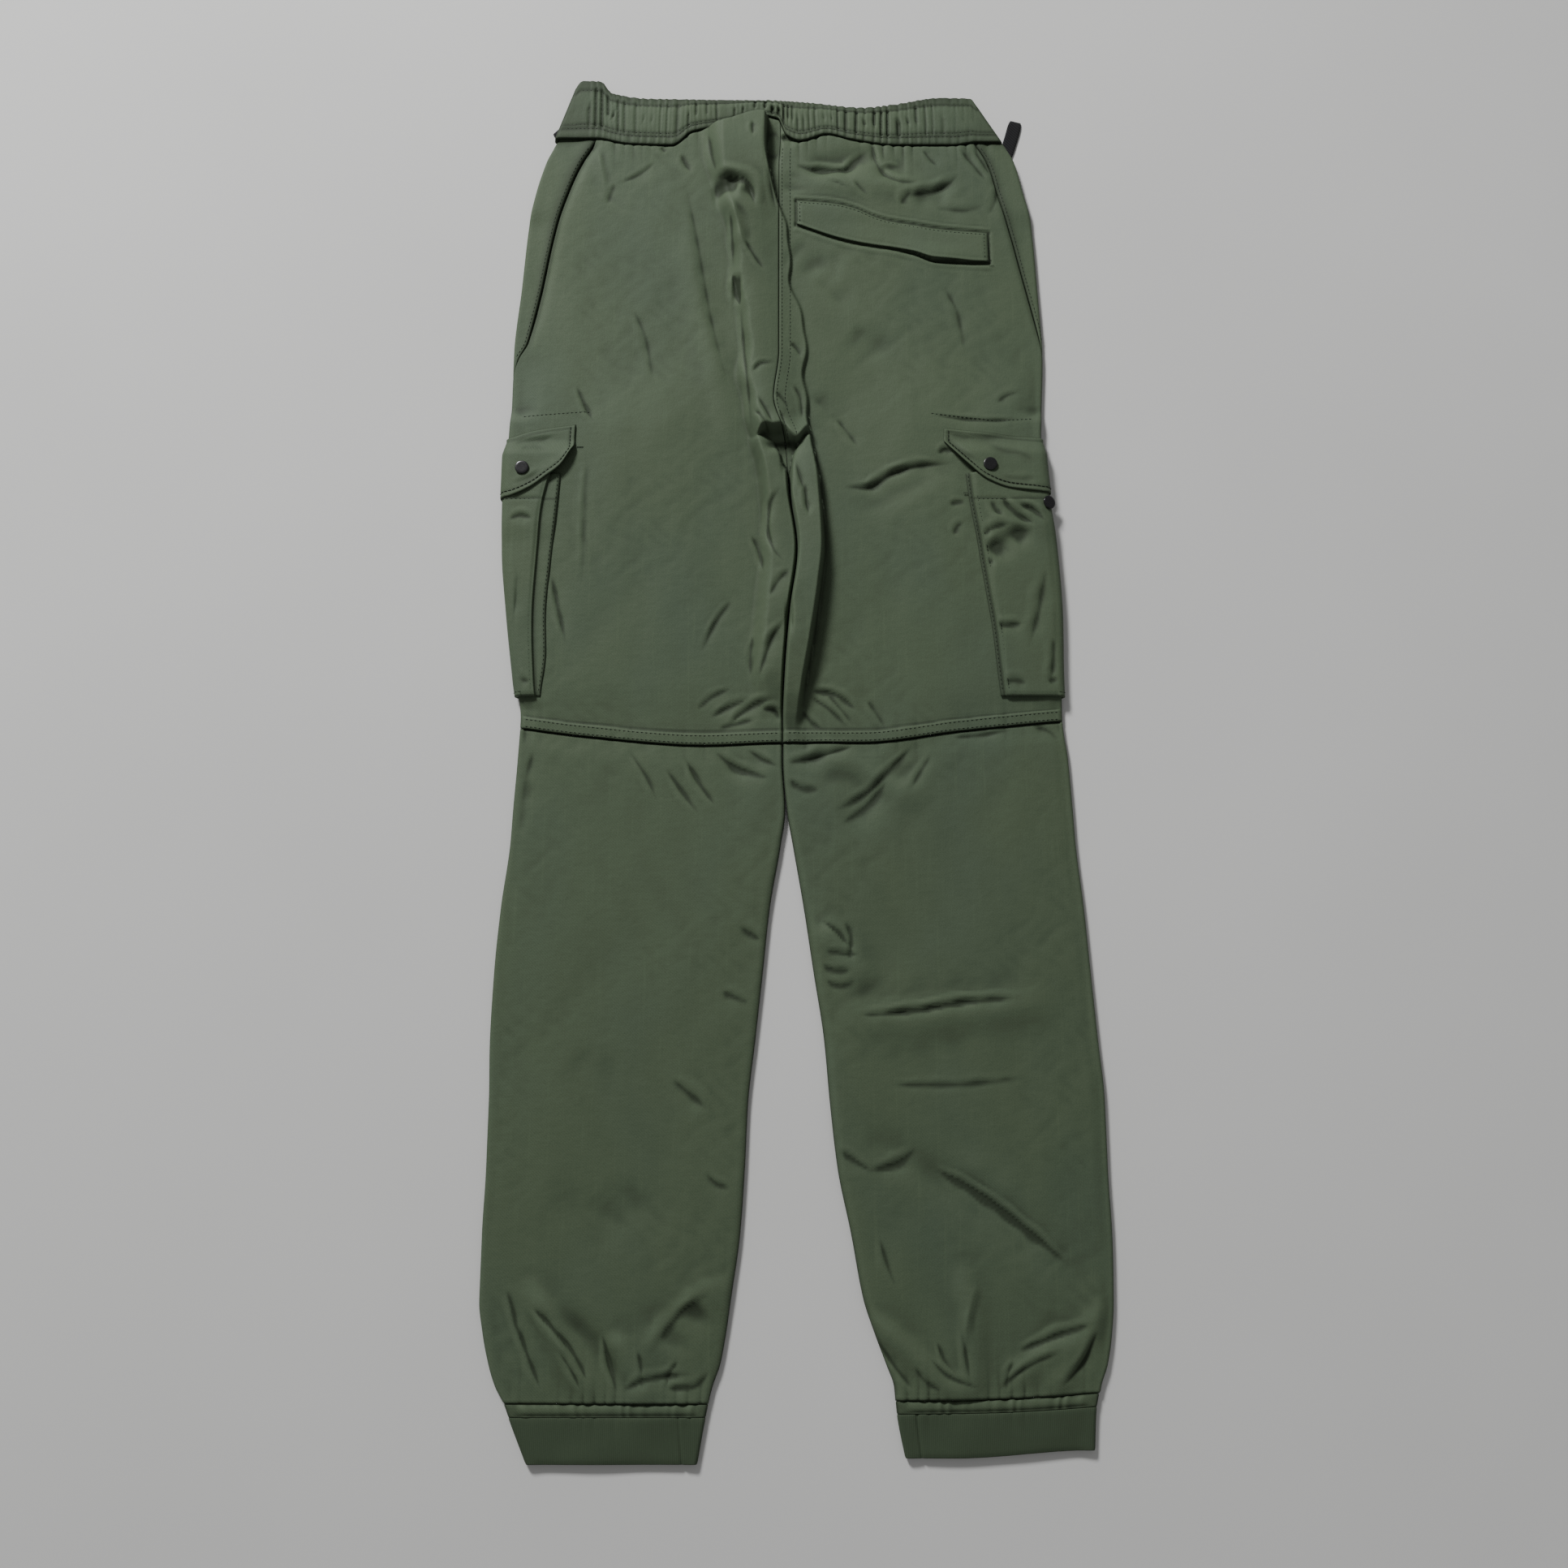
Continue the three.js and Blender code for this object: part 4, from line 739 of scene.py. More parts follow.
def puckers(x, distance, pitch, depth, reach):
    """Small folds that run away from a gathered seam and die out."""
    turn = 2 * math.pi * x / pitch + 1.4 * np.sin(x / (2.3 * pitch)) + 0.9 * np.sin(x / 17.0)
    wave = 1.5 * np.abs(np.sin(turn / 2)) ** 0.7 - 1.0 + 0.4 * np.sin(0.53 * turn + 1.2)
    share = 0.55 + 0.45 * np.sin(x / 11.3 + 0.8)
    length = reach * (0.6 + 0.8 * np.sin(x / 6.7 + 0.4) ** 2)
    return depth * wave * share * np.exp(-np.maximum(distance, 0) / length)


def folds_rise(side, x, y, fine=True):
    """The tall folds: the one down the centre seam, and the one along each inner leg."""
    leg_fold = LEFT_LEG_FOLD if side == LEFT else RIGHT_LEG_FOLD
    if not fine:
        return ridge(CENTRE_FOLD, x, y) + ridge(leg_fold, x, y)
    end = 5.5 * np.sin(x / 5.3 + 0.8) + 2.5 * np.sin(x / 2.7)
    fold_y = y + end * smooth((262 - y) / 40) * smooth((y - 196) / 14)
    sway = (1.6 * np.sin(y / 13.0) + 1.1 * np.sin(y / 6.1 + 1)) * smooth((430 - y) / 40)
    centre = ridge(CENTRE_FOLD, x + sway, fold_y, 1.6) * fold_taper(x, y)
    slit = bell((x + 3) / 7)
    start = smooth((y - 165) / 25) * (18 * slit - 9 * (1 - slit) + 2 * np.sin(x / 3.3))
    return np.maximum(centre, ridge(leg_fold, x, y + start, 1.5))


def top_height(side, x, y, fine=True):
    """The height of the upper cloth's outer side."""
    outer, inner = leg_edges(side, y)
    from_edge = np.abs(x - outer)
    from_inner = np.abs(x - inner)
    apart = smooth((CROTCH_Y + 6 - y) / 12)
    raised = soft_lift(side, from_edge, y) if fine else lift(side, from_edge, y)
    base = raised + 2 * EDGE_RADIUS
    rise = CROWN * smooth(from_edge / CROWN_REACH)
    rise = rise * mix(1, smooth(from_inner / CROWN_REACH + 0.5), apart)
    rise = rise + folds_rise(side, x, y, fine)
    for fold in BROAD_FOLDS:
        rise = rise + broad_fold(fold, x, y)
    if fine:
        rise = rise + creases(CREASES, x, y) + hollows(x, y) + drape(x, y) + crumple(x, y)
        waist = WAIST_SEAM.at("y", x) - y
        rise = rise + puckers(x, waist, 8, 0.5 + 0.4 * smooth(x / 40), 8)
        hem = y - HEM_SEAM.at("y", x)
        rise = rise + puckers(x, hem, 7.5, 0.7, 8)
        knee = np.abs(y - KNEE_SEAM.at("y", x))
        rise = rise + puckers(x, knee, 13, 0.28, 9)
    else:
        rise = rise - 5 * np.exp(-(((x + 5) / 17) ** 4) - ((y - 213) / 6) ** 2)
    edge_fade = smooth((from_edge - EDGE_RADIUS) / 10)
    low = raised + 2 * CLOTH + 2 * GAP
    full = np.maximum(base + rise * edge_fade, low)
    reach = mix(2.4, 6, smooth((-60 - y) / 60))
    q = clamp(from_inner / reach, 0, 1)
    rounded = mix(1, np.sqrt(1 - (1 - q) ** 2), apart)
    return mix(low, full, rounded)


def leg_point(side, y, along, fine=True):
    """Places on the leg's outside, and their outward direction, by the distance round its side."""
    y, along = np.broadcast_arrays(np.asarray(y, float), np.asarray(along, float))
    outer = leg_edges(side, y)[0]
    angle = clamp(along / EDGE_RADIUS, -math.pi / 2, math.pi / 2)
    flat = np.maximum(np.abs(along) - QUARTER_ARC, 0)
    from_edge = np.where(flat > 0, EDGE_RADIUS + flat, 0)
    x = outer - side * (EDGE_RADIUS - EDGE_RADIUS * np.cos(angle) + flat)
    raised = lift(side, from_edge, y)
    z = raised + EDGE_RADIUS + EDGE_RADIUS * np.sin(angle)
    top = top_height(side, x, y, fine)
    z = np.where((along > 0) & (flat > 0), top, z)
    direction = np.stack([side * np.cos(angle), np.zeros_like(angle), np.sin(angle)], axis=-1)
    return np.stack([x, y, z], axis=-1), direction, from_edge


def warp_row(x, y, is_under):
    waist = smooth((y - 396) / 80) * (WAIST_SEAM.at("y", x) - WAIST_Y)
    knee = smooth(1 - np.abs(y - KNEE_Y) / 28) * (KNEE_SEAM.at("y", x) - KNEE_Y)
    hem = smooth(1 - (y - HEM_Y) / 60) * (HEM_SEAM.at("y", x) - HEM_Y)
    return y + np.where(is_under, 0, waist + knee) + hem


def width_round(side, y):
    outer, inner = leg_edges(side, y)
    return np.abs(outer - inner) - EDGE_RADIUS + QUARTER_ARC


def seam_at(side, y):
    return SIDE_SEAM.at("left" if side == LEFT else "right", y)


def rows_between(high, low, pitch, fine_spans=()):
    """Row heights from high to low, closer together inside the fine spans."""
    places = [high]
    while places[-1] > low:
        y = places[-1]
        step = pitch
        for a, b, fine_pitch in fine_spans:
            if b <= y <= a:
                step = fine_pitch
        places.append(y - step)
    places = np.array(places)
    return high + (places - high) * (high - low) / (high - places[-1])


def rolled(distance, reach=SEAM_ROLL_REACH, depth=SEAM_ROLL_DEPTH):
    """How far a cut edge turns down, by the distance from it."""
    t = clamp(1 - np.abs(distance) / reach, 0, 1)
    return depth * (1 - np.sqrt(1 - t * t))


def seam_rows(side, y, along, is_under, top_gap):
    """Rows bent to follow the seams at a panel's ends, and kept short of them by the gaps."""
    x = leg_point(side, y, along, False)[0][..., 0]
    warped = warp_row(x, np.broadcast_to(y, x.shape), is_under)
    warped[0] -= top_gap
    warped[-1] += GAP / 2
    return warped


def back_grid(side, rows, lower):
    """The outer points of a back panel, as rows by columns."""
    y = rows[:, None]
    share = np.linspace(0, 1, 168 if lower else 190)
    edge = np.array([0, 0.0022, 0.005, 0.0085])
    share = np.concatenate([edge, share[2:-2], 1 - edge[::-1]])
    share = 1 - (1 - share) ** (1.0 if lower else 1.28)

    def places(at):
        start, end = seam_at(side, at) + GAP / 2, width_round(side, at)
        return start + (end - start) * share[None, :], start, end

    warped = seam_rows(side, y, places(y)[0], False, GAP)
    along, start, end = places(warped)
    points, out, _ = leg_point(side, warped, along)
    from_head, from_foot = warped[0] - warped, warped - warped[-1]
    depth = rolled(along - start) + rolled(from_head) + rolled(from_foot)
    hidden = 1 - 0.8 * smooth((warped - 402) / 20)
    above = np.where(warped > CROTCH_Y, rolled(end - along, 1.6, 0.8) * hidden, 0)
    shift = -depth - above
    on_top = along > QUARTER_ARC
    if not lower:
        step = smooth((KNEE_BAND - from_foot) / 1.2 + 0.5)
        line = rolled(from_foot - KNEE_BAND, 1.2, 0.35)
        shift = shift + np.where(on_top, KNEE_BAND_RISE * step - line, 0)
        if side == RIGHT:
            shift = shift + welt_groove(points[..., 0], warped)
        upright = smooth((warped - 284) / 40) * smooth((480 - warped) / 12)
        pulled, reach = (1.8, 4.5) if side == LEFT else (0.5, 3)
        shift = shift - pulled * upright * bell((along - start) / reach)
    else:
        tuck = smooth((16 - from_head) / 16)
        shift = shift - np.where(on_top, 0.9 * tuck, 0)
    return points + out * shift[..., None]


def welt_groove(x, y):
    """How the seat's cloth is drawn in along the welt's seam and gapes below its mouth."""
    top, mouth = WELT.at("top", x), WELT.at("mouth", x)
    across = smooth((x - WELT_LEFT + 3) / 3) * smooth((WELT_RIGHT + 3 - x) / 3)
    down = smooth((top - y + 2) / 3) * smooth((y - mouth + 2) / 3)
    seam = 0.45 * bell((y - top - 2.4) / 1.1) - 1.3 * bell((y - top) / 1.0)
    open_mouth = 1.1 + 2.4 * bell((x - 118) / 24)
    lip = 0.6 * bell((y - mouth + 4.2) / 1.2) - open_mouth * bell((y - mouth + 0.4) / 1.7)
    ends = bell((x - (WELT_LEFT - 0.6)) / 0.9) + bell((x - (WELT_RIGHT + 0.6)) / 0.9)
    return across * (seam + lip) - 0.8 * ends * down


def front_grid(side, rows, wrapped):
    """The outer points of a front panel: under the leg, round its edge and up to the seam."""
    y = rows[:, None]
    arc = np.linspace(-1, 1, 13)

    def places(at):
        start, end = -width_round(side, at), seam_at(side, at) - GAP / 2
        under = np.linspace(0, 1, 78)[:-1][None, :]
        flat = start + (-QUARTER_ARC - start) * under
        reach = np.minimum(QUARTER_ARC, end)
        round_ = -QUARTER_ARC + (reach + QUARTER_ARC) * (arc[None, :-1] + 1) / 2
        rest = reach + (end - reach) * np.linspace(0, 1, 13)[None, :]
        return np.concatenate([flat, round_, rest], axis=1)

    along = places(y)
    warped = seam_rows(side, y, along, along < 0, GAP if wrapped else GAP / 2)
    along = np.stack([places(warped[:, i][:, None])[:, i] for i in range(along.shape[1])], axis=1)
    points, out, _ = leg_point(side, warped, along)
    end = along[:, -1][:, None]
    depth = rolled(end - along) + rolled(warped[0] - warped) + rolled(warped - warped[-1])
    under = smooth((-QUARTER_ARC - along) / 20)
    x = points[..., 0]
    hollow = 0.5 * drape(x + 90, warped + 40) - creases(FRONT_CREASES, x, warped)
    dips = under * clamp(hollow + 0.2, 0, 1.1)
    inner_edge = rolled(along - along[:, :1], 2.4, 1.2)
    return points + out * -(depth + dips + inner_edge)[..., None]


def fresh():
    """Leaves edit mode and deselects everything."""
    if bpy.context.object and bpy.context.object.mode != "OBJECT":
        bpy.ops.object.mode_set(mode="OBJECT")
    bpy.ops.object.select_all(action="DESELECT")


def mesh_piece(name, points, faces, wear_and_painted_light=None):
    """A piece from points in metres, with its wear and painted light, from -1 for painted shade in
    a hollow to 1 for a worn edge or a painted highlight on a ridge.
    """
    mesh = bpy.data.meshes.new(name)
    mesh.from_pydata(np.asarray(points).tolist(), [], faces)
    mesh.update()
    if wear_and_painted_light is not None:
        layer = mesh.attributes.new("wear_and_painted_light", "FLOAT", "POINT")
        layer.data.foreach_set("value", np.asarray(wear_and_painted_light, np.float32).ravel())
    piece = bpy.data.objects.new(name, mesh)
    bpy.context.scene.collection.objects.link(piece)
    turn_outwards(piece)
    return piece


def turn_outwards(piece):
    """Turns every face outwards, and shades the piece smooth."""
    fresh()
    piece.select_set(True)
    bpy.context.view_layer.objects.active = piece
    bpy.ops.object.mode_set(mode="EDIT")
    bpy.ops.mesh.select_all(action="SELECT")
    bpy.ops.mesh.normals_make_consistent(inside=False)
    bpy.ops.object.mode_set(mode="OBJECT")
    bpy.ops.object.shade_smooth()
    piece.select_set(False)


def grid_faces(rows, columns, start=0, ringed=False, turned=False):
    r = np.arange(rows - 1)[:, None]
    c = np.arange(columns if ringed else columns - 1)[None, :]
    after = (c + 1) % columns
    quad = np.stack(
        [r * columns + c, r * columns + after, (r + 1) * columns + after, (r + 1) * columns + c],
        axis=-1,
    ).reshape(-1, 4) + start
    if turned:
        quad = quad[:, ::-1]
    return quad.tolist()


def wall_piece(name, outer, inner, ringed=False, wear_and_painted_light=None):
    """A closed wall between two grids of points, in millimetres."""
    rows, columns = outer.shape[:2]
    count = rows * columns
    faces = grid_faces(rows, columns, 0, ringed) + grid_faces(rows, columns, count, ringed, True)
    spans = columns if ringed else columns - 1

    def at(layer, row, column):
        return layer * count + row * columns + column % columns

    for c in range(spans):
        faces.append([at(0, 0, c + 1), at(0, 0, c), at(1, 0, c), at(1, 0, c + 1)])
        last = rows - 1
        faces.append([at(0, last, c), at(0, last, c + 1), at(1, last, c + 1), at(1, last, c)])
    if not ringed:
        for r in range(rows - 1):
            faces.append([at(0, r, 0), at(0, r + 1, 0), at(1, r + 1, 0), at(1, r, 0)])
            end = columns - 1
            faces.append([at(0, r + 1, end), at(0, r, end), at(1, r, end), at(1, r + 1, end)])
    points = placed(np.concatenate([outer.reshape(-1, 3), inner.reshape(-1, 3)]))
    if wear_and_painted_light is not None:
        wear_and_painted_light = np.concatenate([np.asarray(wear_and_painted_light).ravel()] * 2)
    return mesh_piece(name, points, faces, wear_and_painted_light)


def grid_normals(points):
    across = np.gradient(points, axis=1)
    down = np.gradient(points, axis=0)
    normal = np.cross(across, down)
    size = np.linalg.norm(normal, axis=-1, keepdims=True)
    return normal / np.maximum(size, 1e-9)


def lowest_near(z, reach):
    """The lowest height within a few rows and columns of each place."""
    low = z
    for axis in (0, 1):
        pad = [(reach, reach) if a == axis else (0, 0) for a in (0, 1)]
        wide = np.pad(low, pad, mode="edge")
        count = z.shape[axis]
        shifted = [np.take(wide, range(k, k + count), axis) for k in range(2 * reach + 1)]
        low = np.min(shifted, axis=0)
    return low


def every(count, step):
    return np.array(list(range(0, count - 1, step)) + [count - 1])


def thin_shell(name, points, thickness, sign, wear_and_painted_light):
    """A panel's closed wall: its hidden inner side has a third of the rows and columns."""
    normal = sign * grid_normals(points)
    inner = points - normal * thickness
    under = lowest_near(points[..., 2], INNER_STEP) - thickness
    inner[..., 2] = np.where(normal[..., 2] > 0.5, np.minimum(inner[..., 2], under), inner[..., 2])
    inner[..., 2] = np.maximum(inner[..., 2], LOWEST_CLOTH)
    rows, columns = points.shape[:2]
    r, c = every(rows, INNER_STEP), every(columns, INNER_STEP)
    count = rows * columns
    faces = grid_faces(rows, columns) + grid_faces(len(r), len(c), count, turned=True)

    def thin(i, j):
        return count + i * len(c) + j

    for j in range(len(c) - 1):
        for row, i in ((0, 0), (rows - 1, len(r) - 1)):
            edge = [row * columns + k for k in range(c[j], c[j + 1] + 1)]
            faces.append(edge + [thin(i, j + 1), thin(i, j)])
    for i in range(len(r) - 1):
        for column, j in ((0, 0), (columns - 1, len(c) - 1)):
            edge = [k * columns + column for k in range(r[i], r[i + 1] + 1)]
            faces.append(edge + [thin(i + 1, j), thin(i, j)])
    low = inner[np.ix_(r, c)]
    spots = placed(np.concatenate([points.reshape(-1, 3), low.reshape(-1, 3)]))
    wear_and_painted_light = np.concatenate([wear_and_painted_light.ravel(), wear_and_painted_light[np.ix_(r, c)].ravel()])
    return mesh_piece(name, spots, faces, wear_and_painted_light)


def bank(z):
    """How proud each place stands of its neighbourhood, for painted shade in the creases' troughs
    and a rubbed, painted highlight on their ridges.
    """
    proud = 0
    for reach, share in ((2, 2.2), (5, 0.35)):
        padded = np.pad(z, reach, mode="edge")
        around = sum(
            padded[i:i + z.shape[0], j:j + z.shape[1]]
            for i in (0, reach, 2 * reach) for j in (0, reach, 2 * reach)
        )
        proud = proud + share * (z - around / 9)
    return np.where(proud > 0, 0.8, 1.1) * proud


def painted_seam_shade(shape):
    """Painted shade along a panel's seams, where the gaps between panels lie: one at its borders,
    and fading within a few columns.
    """
    r = np.arange(shape[0])[:, None]
    c = np.arange(shape[1])[None, :]
    near = np.minimum(c, shape[1] - 1 - c) / 3.0
    near = np.minimum(near, np.minimum(r, shape[0] - 1 - r) / 1.2)
    return np.exp(-near * near)


def ring_grid(side_low, side_high, floor, radius, cloth, ys, wave, tops, under_count):
    """A flattened ring of cloth: outer and inner points, rows down it and columns round it."""
    quarter = np.radians([67, 45, 22, 0, -22, -45, -67])
    outer, inner = [], []
    for i, (low, high) in enumerate(zip(side_low, side_high)):
        x = mix(low + radius, high - radius, tops)
        rise = wave(i, tops, x)
        angle = np.concatenate([
            np.full(len(tops), math.pi / 2), quarter, np.full(under_count, -math.pi / 2),
            math.pi - quarter[::-1],
        ])
        under_x = np.linspace(high - radius, low + radius, under_count)
        x = np.concatenate([
            x, high - radius + radius * np.cos(quarter), under_x,
            low + radius - radius * np.cos(quarter),
        ])
        out = np.stack([np.cos(angle), np.zeros_like(angle), np.sin(angle)], axis=1)
        z = floor + radius + radius * np.sin(angle)
        inner_z = z - out[:, 2] * cloth
        z[:len(tops)] += rise
        inner_z[:len(tops)] += 0.6 * np.minimum(rise, 0)
        is_under = angle < -0.1
        is_under[-len(quarter):] = np.sin(angle[-len(quarter):]) < 0.1
        y = ys(i, x, is_under)
        outer.append(np.stack([x, y, z], axis=1))
        inner.append(np.stack([x - out[:, 0] * cloth, y, inner_z], axis=1))
    return np.array(outer), np.array(inner)


def rounded_ends(outer, inner):
    """Rounds a ring's two open edges over their last two rows."""
    for i, share in enumerate((0.32, 0.16)):
        for r in (i, len(outer) - 1 - i):
            middle = (outer[r] + inner[r]) / 2
            outer[r] = mix(outer[r], middle, share)
            inner[r] = mix(inner[r], middle, share)
    return outer, inner


def band_seam(x):
    """The waistband's lower edge, a gap above the back panels' upper ends."""
    ends = np.concatenate([panel_grids()["back_upper", side][0][:, :2] for side in (LEFT, RIGHT)])
    ends = ends[np.argsort(ends[:, 0])]
    return np.interp(x, ends[:, 0], ends[:, 1]) + GAP


def gather_wave(x, level):
    """The waistband's gathers: thin valleys between low domes, of uneven depth and reach."""
    lean = 1.1 * np.sin(x / 13.0) * (level - 0.5)
    turn = gather_turn(x + lean) / math.pi
    number = np.floor(turn)
    off = (turn - number - 0.5) * GATHERS.at("pitch", x)
    own = 0.5 + 0.5 * np.sin(12.9 * number + 0.7)
    start = np.where(np.sin(5.1 * number) > -0.35, 0.16, 0.42)
    end = np.where(np.sin(7.7 * number + 1) > -0.4, 0.90, 0.62)
    reach = 0.25 + 0.75 * smooth((level - start) / 0.08) * smooth((end - level) / 0.08)
    valley = (0.5 + 1.1 * own) * reach * np.exp(-((np.abs(off) / 1.05) ** 1.4))
    small = 0.25 * np.sin(2.1 * math.pi * turn + 2) * smooth(abs(level - 0.53) / 0.3 - 0.6)
    return GATHERS.at("depth", x) * (0.7 - 2.1 * valley - 0.3 * off ** 2 / 9 + small)


# How far the gathers have turned at each place, from their pitch.
GATHER_PLACES = np.linspace(-200, 180, 1901)
GATHER_TURNS = np.concatenate(
    [[0], np.cumsum(math.pi * 0.2 / GATHERS.at("pitch", GATHER_PLACES[1:]))]
)


def gather_turn(x):
    uneven = 0.5 * np.sin(x / 5.7) + 0.35 * np.sin(x / 3.1 + 1)
    return np.interp(x, GATHER_PLACES, GATHER_TURNS) + uneven


# The waistband's rows, from its seam at 0 to its upper edge at 1.
BAND_LEVELS = np.array([
    0, 0.02, 0.05, 0.09, 0.13, 0.16, 0.185, 0.21, 0.24, 0.27, 0.3, 0.36, 0.44, 0.52, 0.6,
    0.68, 0.74, 0.78, 0.81, 0.84, 0.87, 0.9, 0.935, 0.965, 0.985, 1,
])

# The valleys that the waistband's rows of stitches draw in: level, half width and depth.
STITCH_VALLEYS = ((0.16, 0.035, 0.5), (0.235, 0.03, 0.35), (0.83, 0.03, 0.45))


def band_height(x, level):
    """How far the waistband's face stands above its plain height."""
    ends = faded((x + 186) / 352, 8)
    face = np.interp(level, [0, 0.25, 0.7, 1], [-0.4, 0.1, 0.5, -0.9]) * ends
    pull = np.interp(level, [0, 0.1, 0.2, 0.5, 0.8, 1], [0.9, 0.75, 0.6, 1.0, 0.7, 0.6])
    height = face + pull * gather_wave(x, level)
    for middle, half, depth in STITCH_VALLEYS:
        height = height - depth * bell((level - middle) / half)
    return height


@functools.lru_cache(maxsize=None)
def panel_grids():
    """The outer points of the eight leg panels, worked out once."""
    knee_rows = (6, KNEE_Y, 1.0)
    upper = rows_between(WAIST_Y, KNEE_Y, 1.5, ((236, 192, 1.0), (480, 440, 1.2), knee_rows))
    lower = rows_between(KNEE_Y, HEM_Y, 1.95, ((KNEE_Y, -30, 1.0), (-440, HEM_Y, 1.5)))
    under_upper = rows_between(WAIST_Y, KNEE_Y, 3.5, ((6, KNEE_Y, 2.0),))
    under_lower = rows_between(KNEE_Y, HEM_Y, 3.7, ((-450, HEM_Y, 2.4),))
    grids = {}
    for side in (LEFT, RIGHT):
        grids["back_upper", side] = back_grid(side, upper, False)
        grids["back_lower", side] = back_grid(side, lower, True)
        grids["front_upper", side] = front_grid(side, under_upper, True)
        grids["front_lower", side] = front_grid(side, under_lower, False)
    return grids


def make_waistband():
    lows = [mix(BAND_ENDS["bottomLeft"], BAND_ENDS["topLeft"], u) for u in BAND_LEVELS]
    highs = [mix(BAND_ENDS["bottomRight"], BAND_ENDS["topRight"], u) for u in BAND_LEVELS]

    def ys(i, x, is_under):
        seam = np.where(is_under, WAIST_Y, band_seam(x)) + BAND_CLEARANCE
        corner = 5 * smooth((-166 - x) / 8) ** 2 + 5 * smooth((x - 143) / 8) ** 2
        top = WAIST_TOP.at("y", x) + 0.7 * gather_wave(x, 1.0) - corner
        return mix(seam, top, BAND_LEVELS[i])

    def wave(i, t, x):
        return band_height(x, BAND_LEVELS[i])

    tops = np.linspace(0, 1, 560)
    outer, inner = ring_grid(
        lows, highs, WAIST_LIFT, BAND_EDGE_RADIUS, BAND_CLOTH, ys, wave, tops, 120,
    )
    under = outer[..., 2] < WAIST_LIFT + 0.2
    dent = 0.5 * np.maximum(-gather_wave(outer[..., 0] + 31, 0.5), 0)
    outer[..., 2] += np.where(under, dent, 0)
    outer, inner = rounded_ends(outer, inner)
    # Painted light: darker in the gathers' low places and in the stitch valleys, a little lighter
    # on the highest domes; none underneath.
    plain = WAIST_LIFT + 2 * BAND_EDGE_RADIUS
    wear_and_painted_light = clamp((outer[..., 2] - plain - 0.45) / 1.1, -1, 0.2)
    for middle, half, depth in STITCH_VALLEYS:
        wear_and_painted_light = wear_and_painted_light - depth * bell((BAND_LEVELS[:, None] - middle) / (0.6 * half))
    wear_and_painted_light = np.where(under, 0, clamp(wear_and_painted_light, -1, 1))
    return wall_piece("waistband_cloth", outer, inner, ringed=True, wear_and_painted_light=wear_and_painted_light)


def end_ring(side, places, ys, wave, columns, under_columns):
    """A flattened ring of cloth round a leg's end, with rows at the places down the leg."""
    edges = [sorted(float(v) for v in leg_edges(side, y)) for y in places]
    lows, highs = zip(*edges)
    tops = np.linspace(0, 1, columns)
    return rounded_ends(*ring_grid(
        lows, highs, 0, CUFF_EDGE_RADIUS, CUFF_CLOTH, ys, wave, tops, under_columns,
    ))


def make_hem(side, label):
    downs = np.array([0, 0.06, 0.14, 0.3, 0.5, 0.7, 0.8, 0.88, 0.95, 1])

    def ys(i, x, is_under):
        return HEM_SEAM.at("y", x) - GAP - downs[i] * HEM_HEIGHT

    def wave(i, t, x):
        turn = 2 * math.pi * 16.5 * t + 0.9 * np.sin(t * 31) + 0.6 * np.sin(t * 53)
        share = 0.6 + 0.4 * np.sin(t * 21 + (1 if side == LEFT else 2.6))
        bulge = 0.75 * math.sin(math.pi * min(downs[i] / 0.84, 1))
        bulge = bulge - 0.5 * bell((downs[i] - 0.86) / 0.07)
        return faded(t, 12) * (0.5 * share * np.sin(turn) * (1 - 0.45 * downs[i]) + bulge)

    outer, inner = end_ring(side, HEM_Y - downs * HEM_HEIGHT, ys, wave, 180, 50)
    # Painted light on the hem's upper side: lighter where it stands high, darker in its dips.
    wear_and_painted_light = np.where(outer[..., 2] > 3, clamp((outer[..., 2] - 5.1) / 0.9, -1, 0.8), 0)
    return wall_piece("leg_hem_cloth_" + label, outer, inner, ringed=True, wear_and_painted_light=wear_and_painted_light)


# Where the seam of each cuff lies across.
CUFF_SEAMS = {LEFT: -76, RIGHT: 84}


def make_cuff(side, label):
    downs = np.array([
        0, 0.02, 0.05, 0.12, 0.2, 0.3, 0.4, 0.5, 0.6, 0.7, 0.8, 0.88, 0.94, 0.98, 1,
    ])

    def ys(i, x, is_under):
        top = HEM_SEAM.at("y", x) - HEM_HEIGHT - 2 * GAP
        low = CUFF_BOTTOM_Y + (4 + 5 * smooth((x - 110) / 90) if side == RIGHT else 0 * x)
        return mix(top, low, downs[i])

    def wave(i, t, x):
        seam = x - CUFF_SEAMS[side] - 3 * downs[i]
        lap = -0.8 * bell(seam / 0.9) - 0.5 * bell((seam + side * 8) / 0.8)
        soft = 0.35 * np.sin(x / 21 + 2 * downs[i]) + 0.2 * np.sin(x / 9.3 + 3 * downs[i])
        foot = -0.5 * smooth((downs[i] - 0.9) / 0.1)
        pull = 0.3 * puckers(x, np.full_like(x, 40 * downs[i]), 7.5, 1.2, 9)
        return faded(t, 12) * (lap + soft + foot + pull)

    places = mix(HEM_Y - HEM_HEIGHT, CUFF_BOTTOM_Y, downs)
    outer, inner = end_ring(side, places, ys, wave, 200, 40)
    row = np.linspace(0, 1, len(downs))[:, None] * np.ones(outer.shape[:2])
    wear_and_painted_light = np.exp(-((1 - row) / 0.1) ** 2)
    return wall_piece("cuff_cloth_" + label, outer, inner, ringed=True, wear_and_painted_light=wear_and_painted_light)


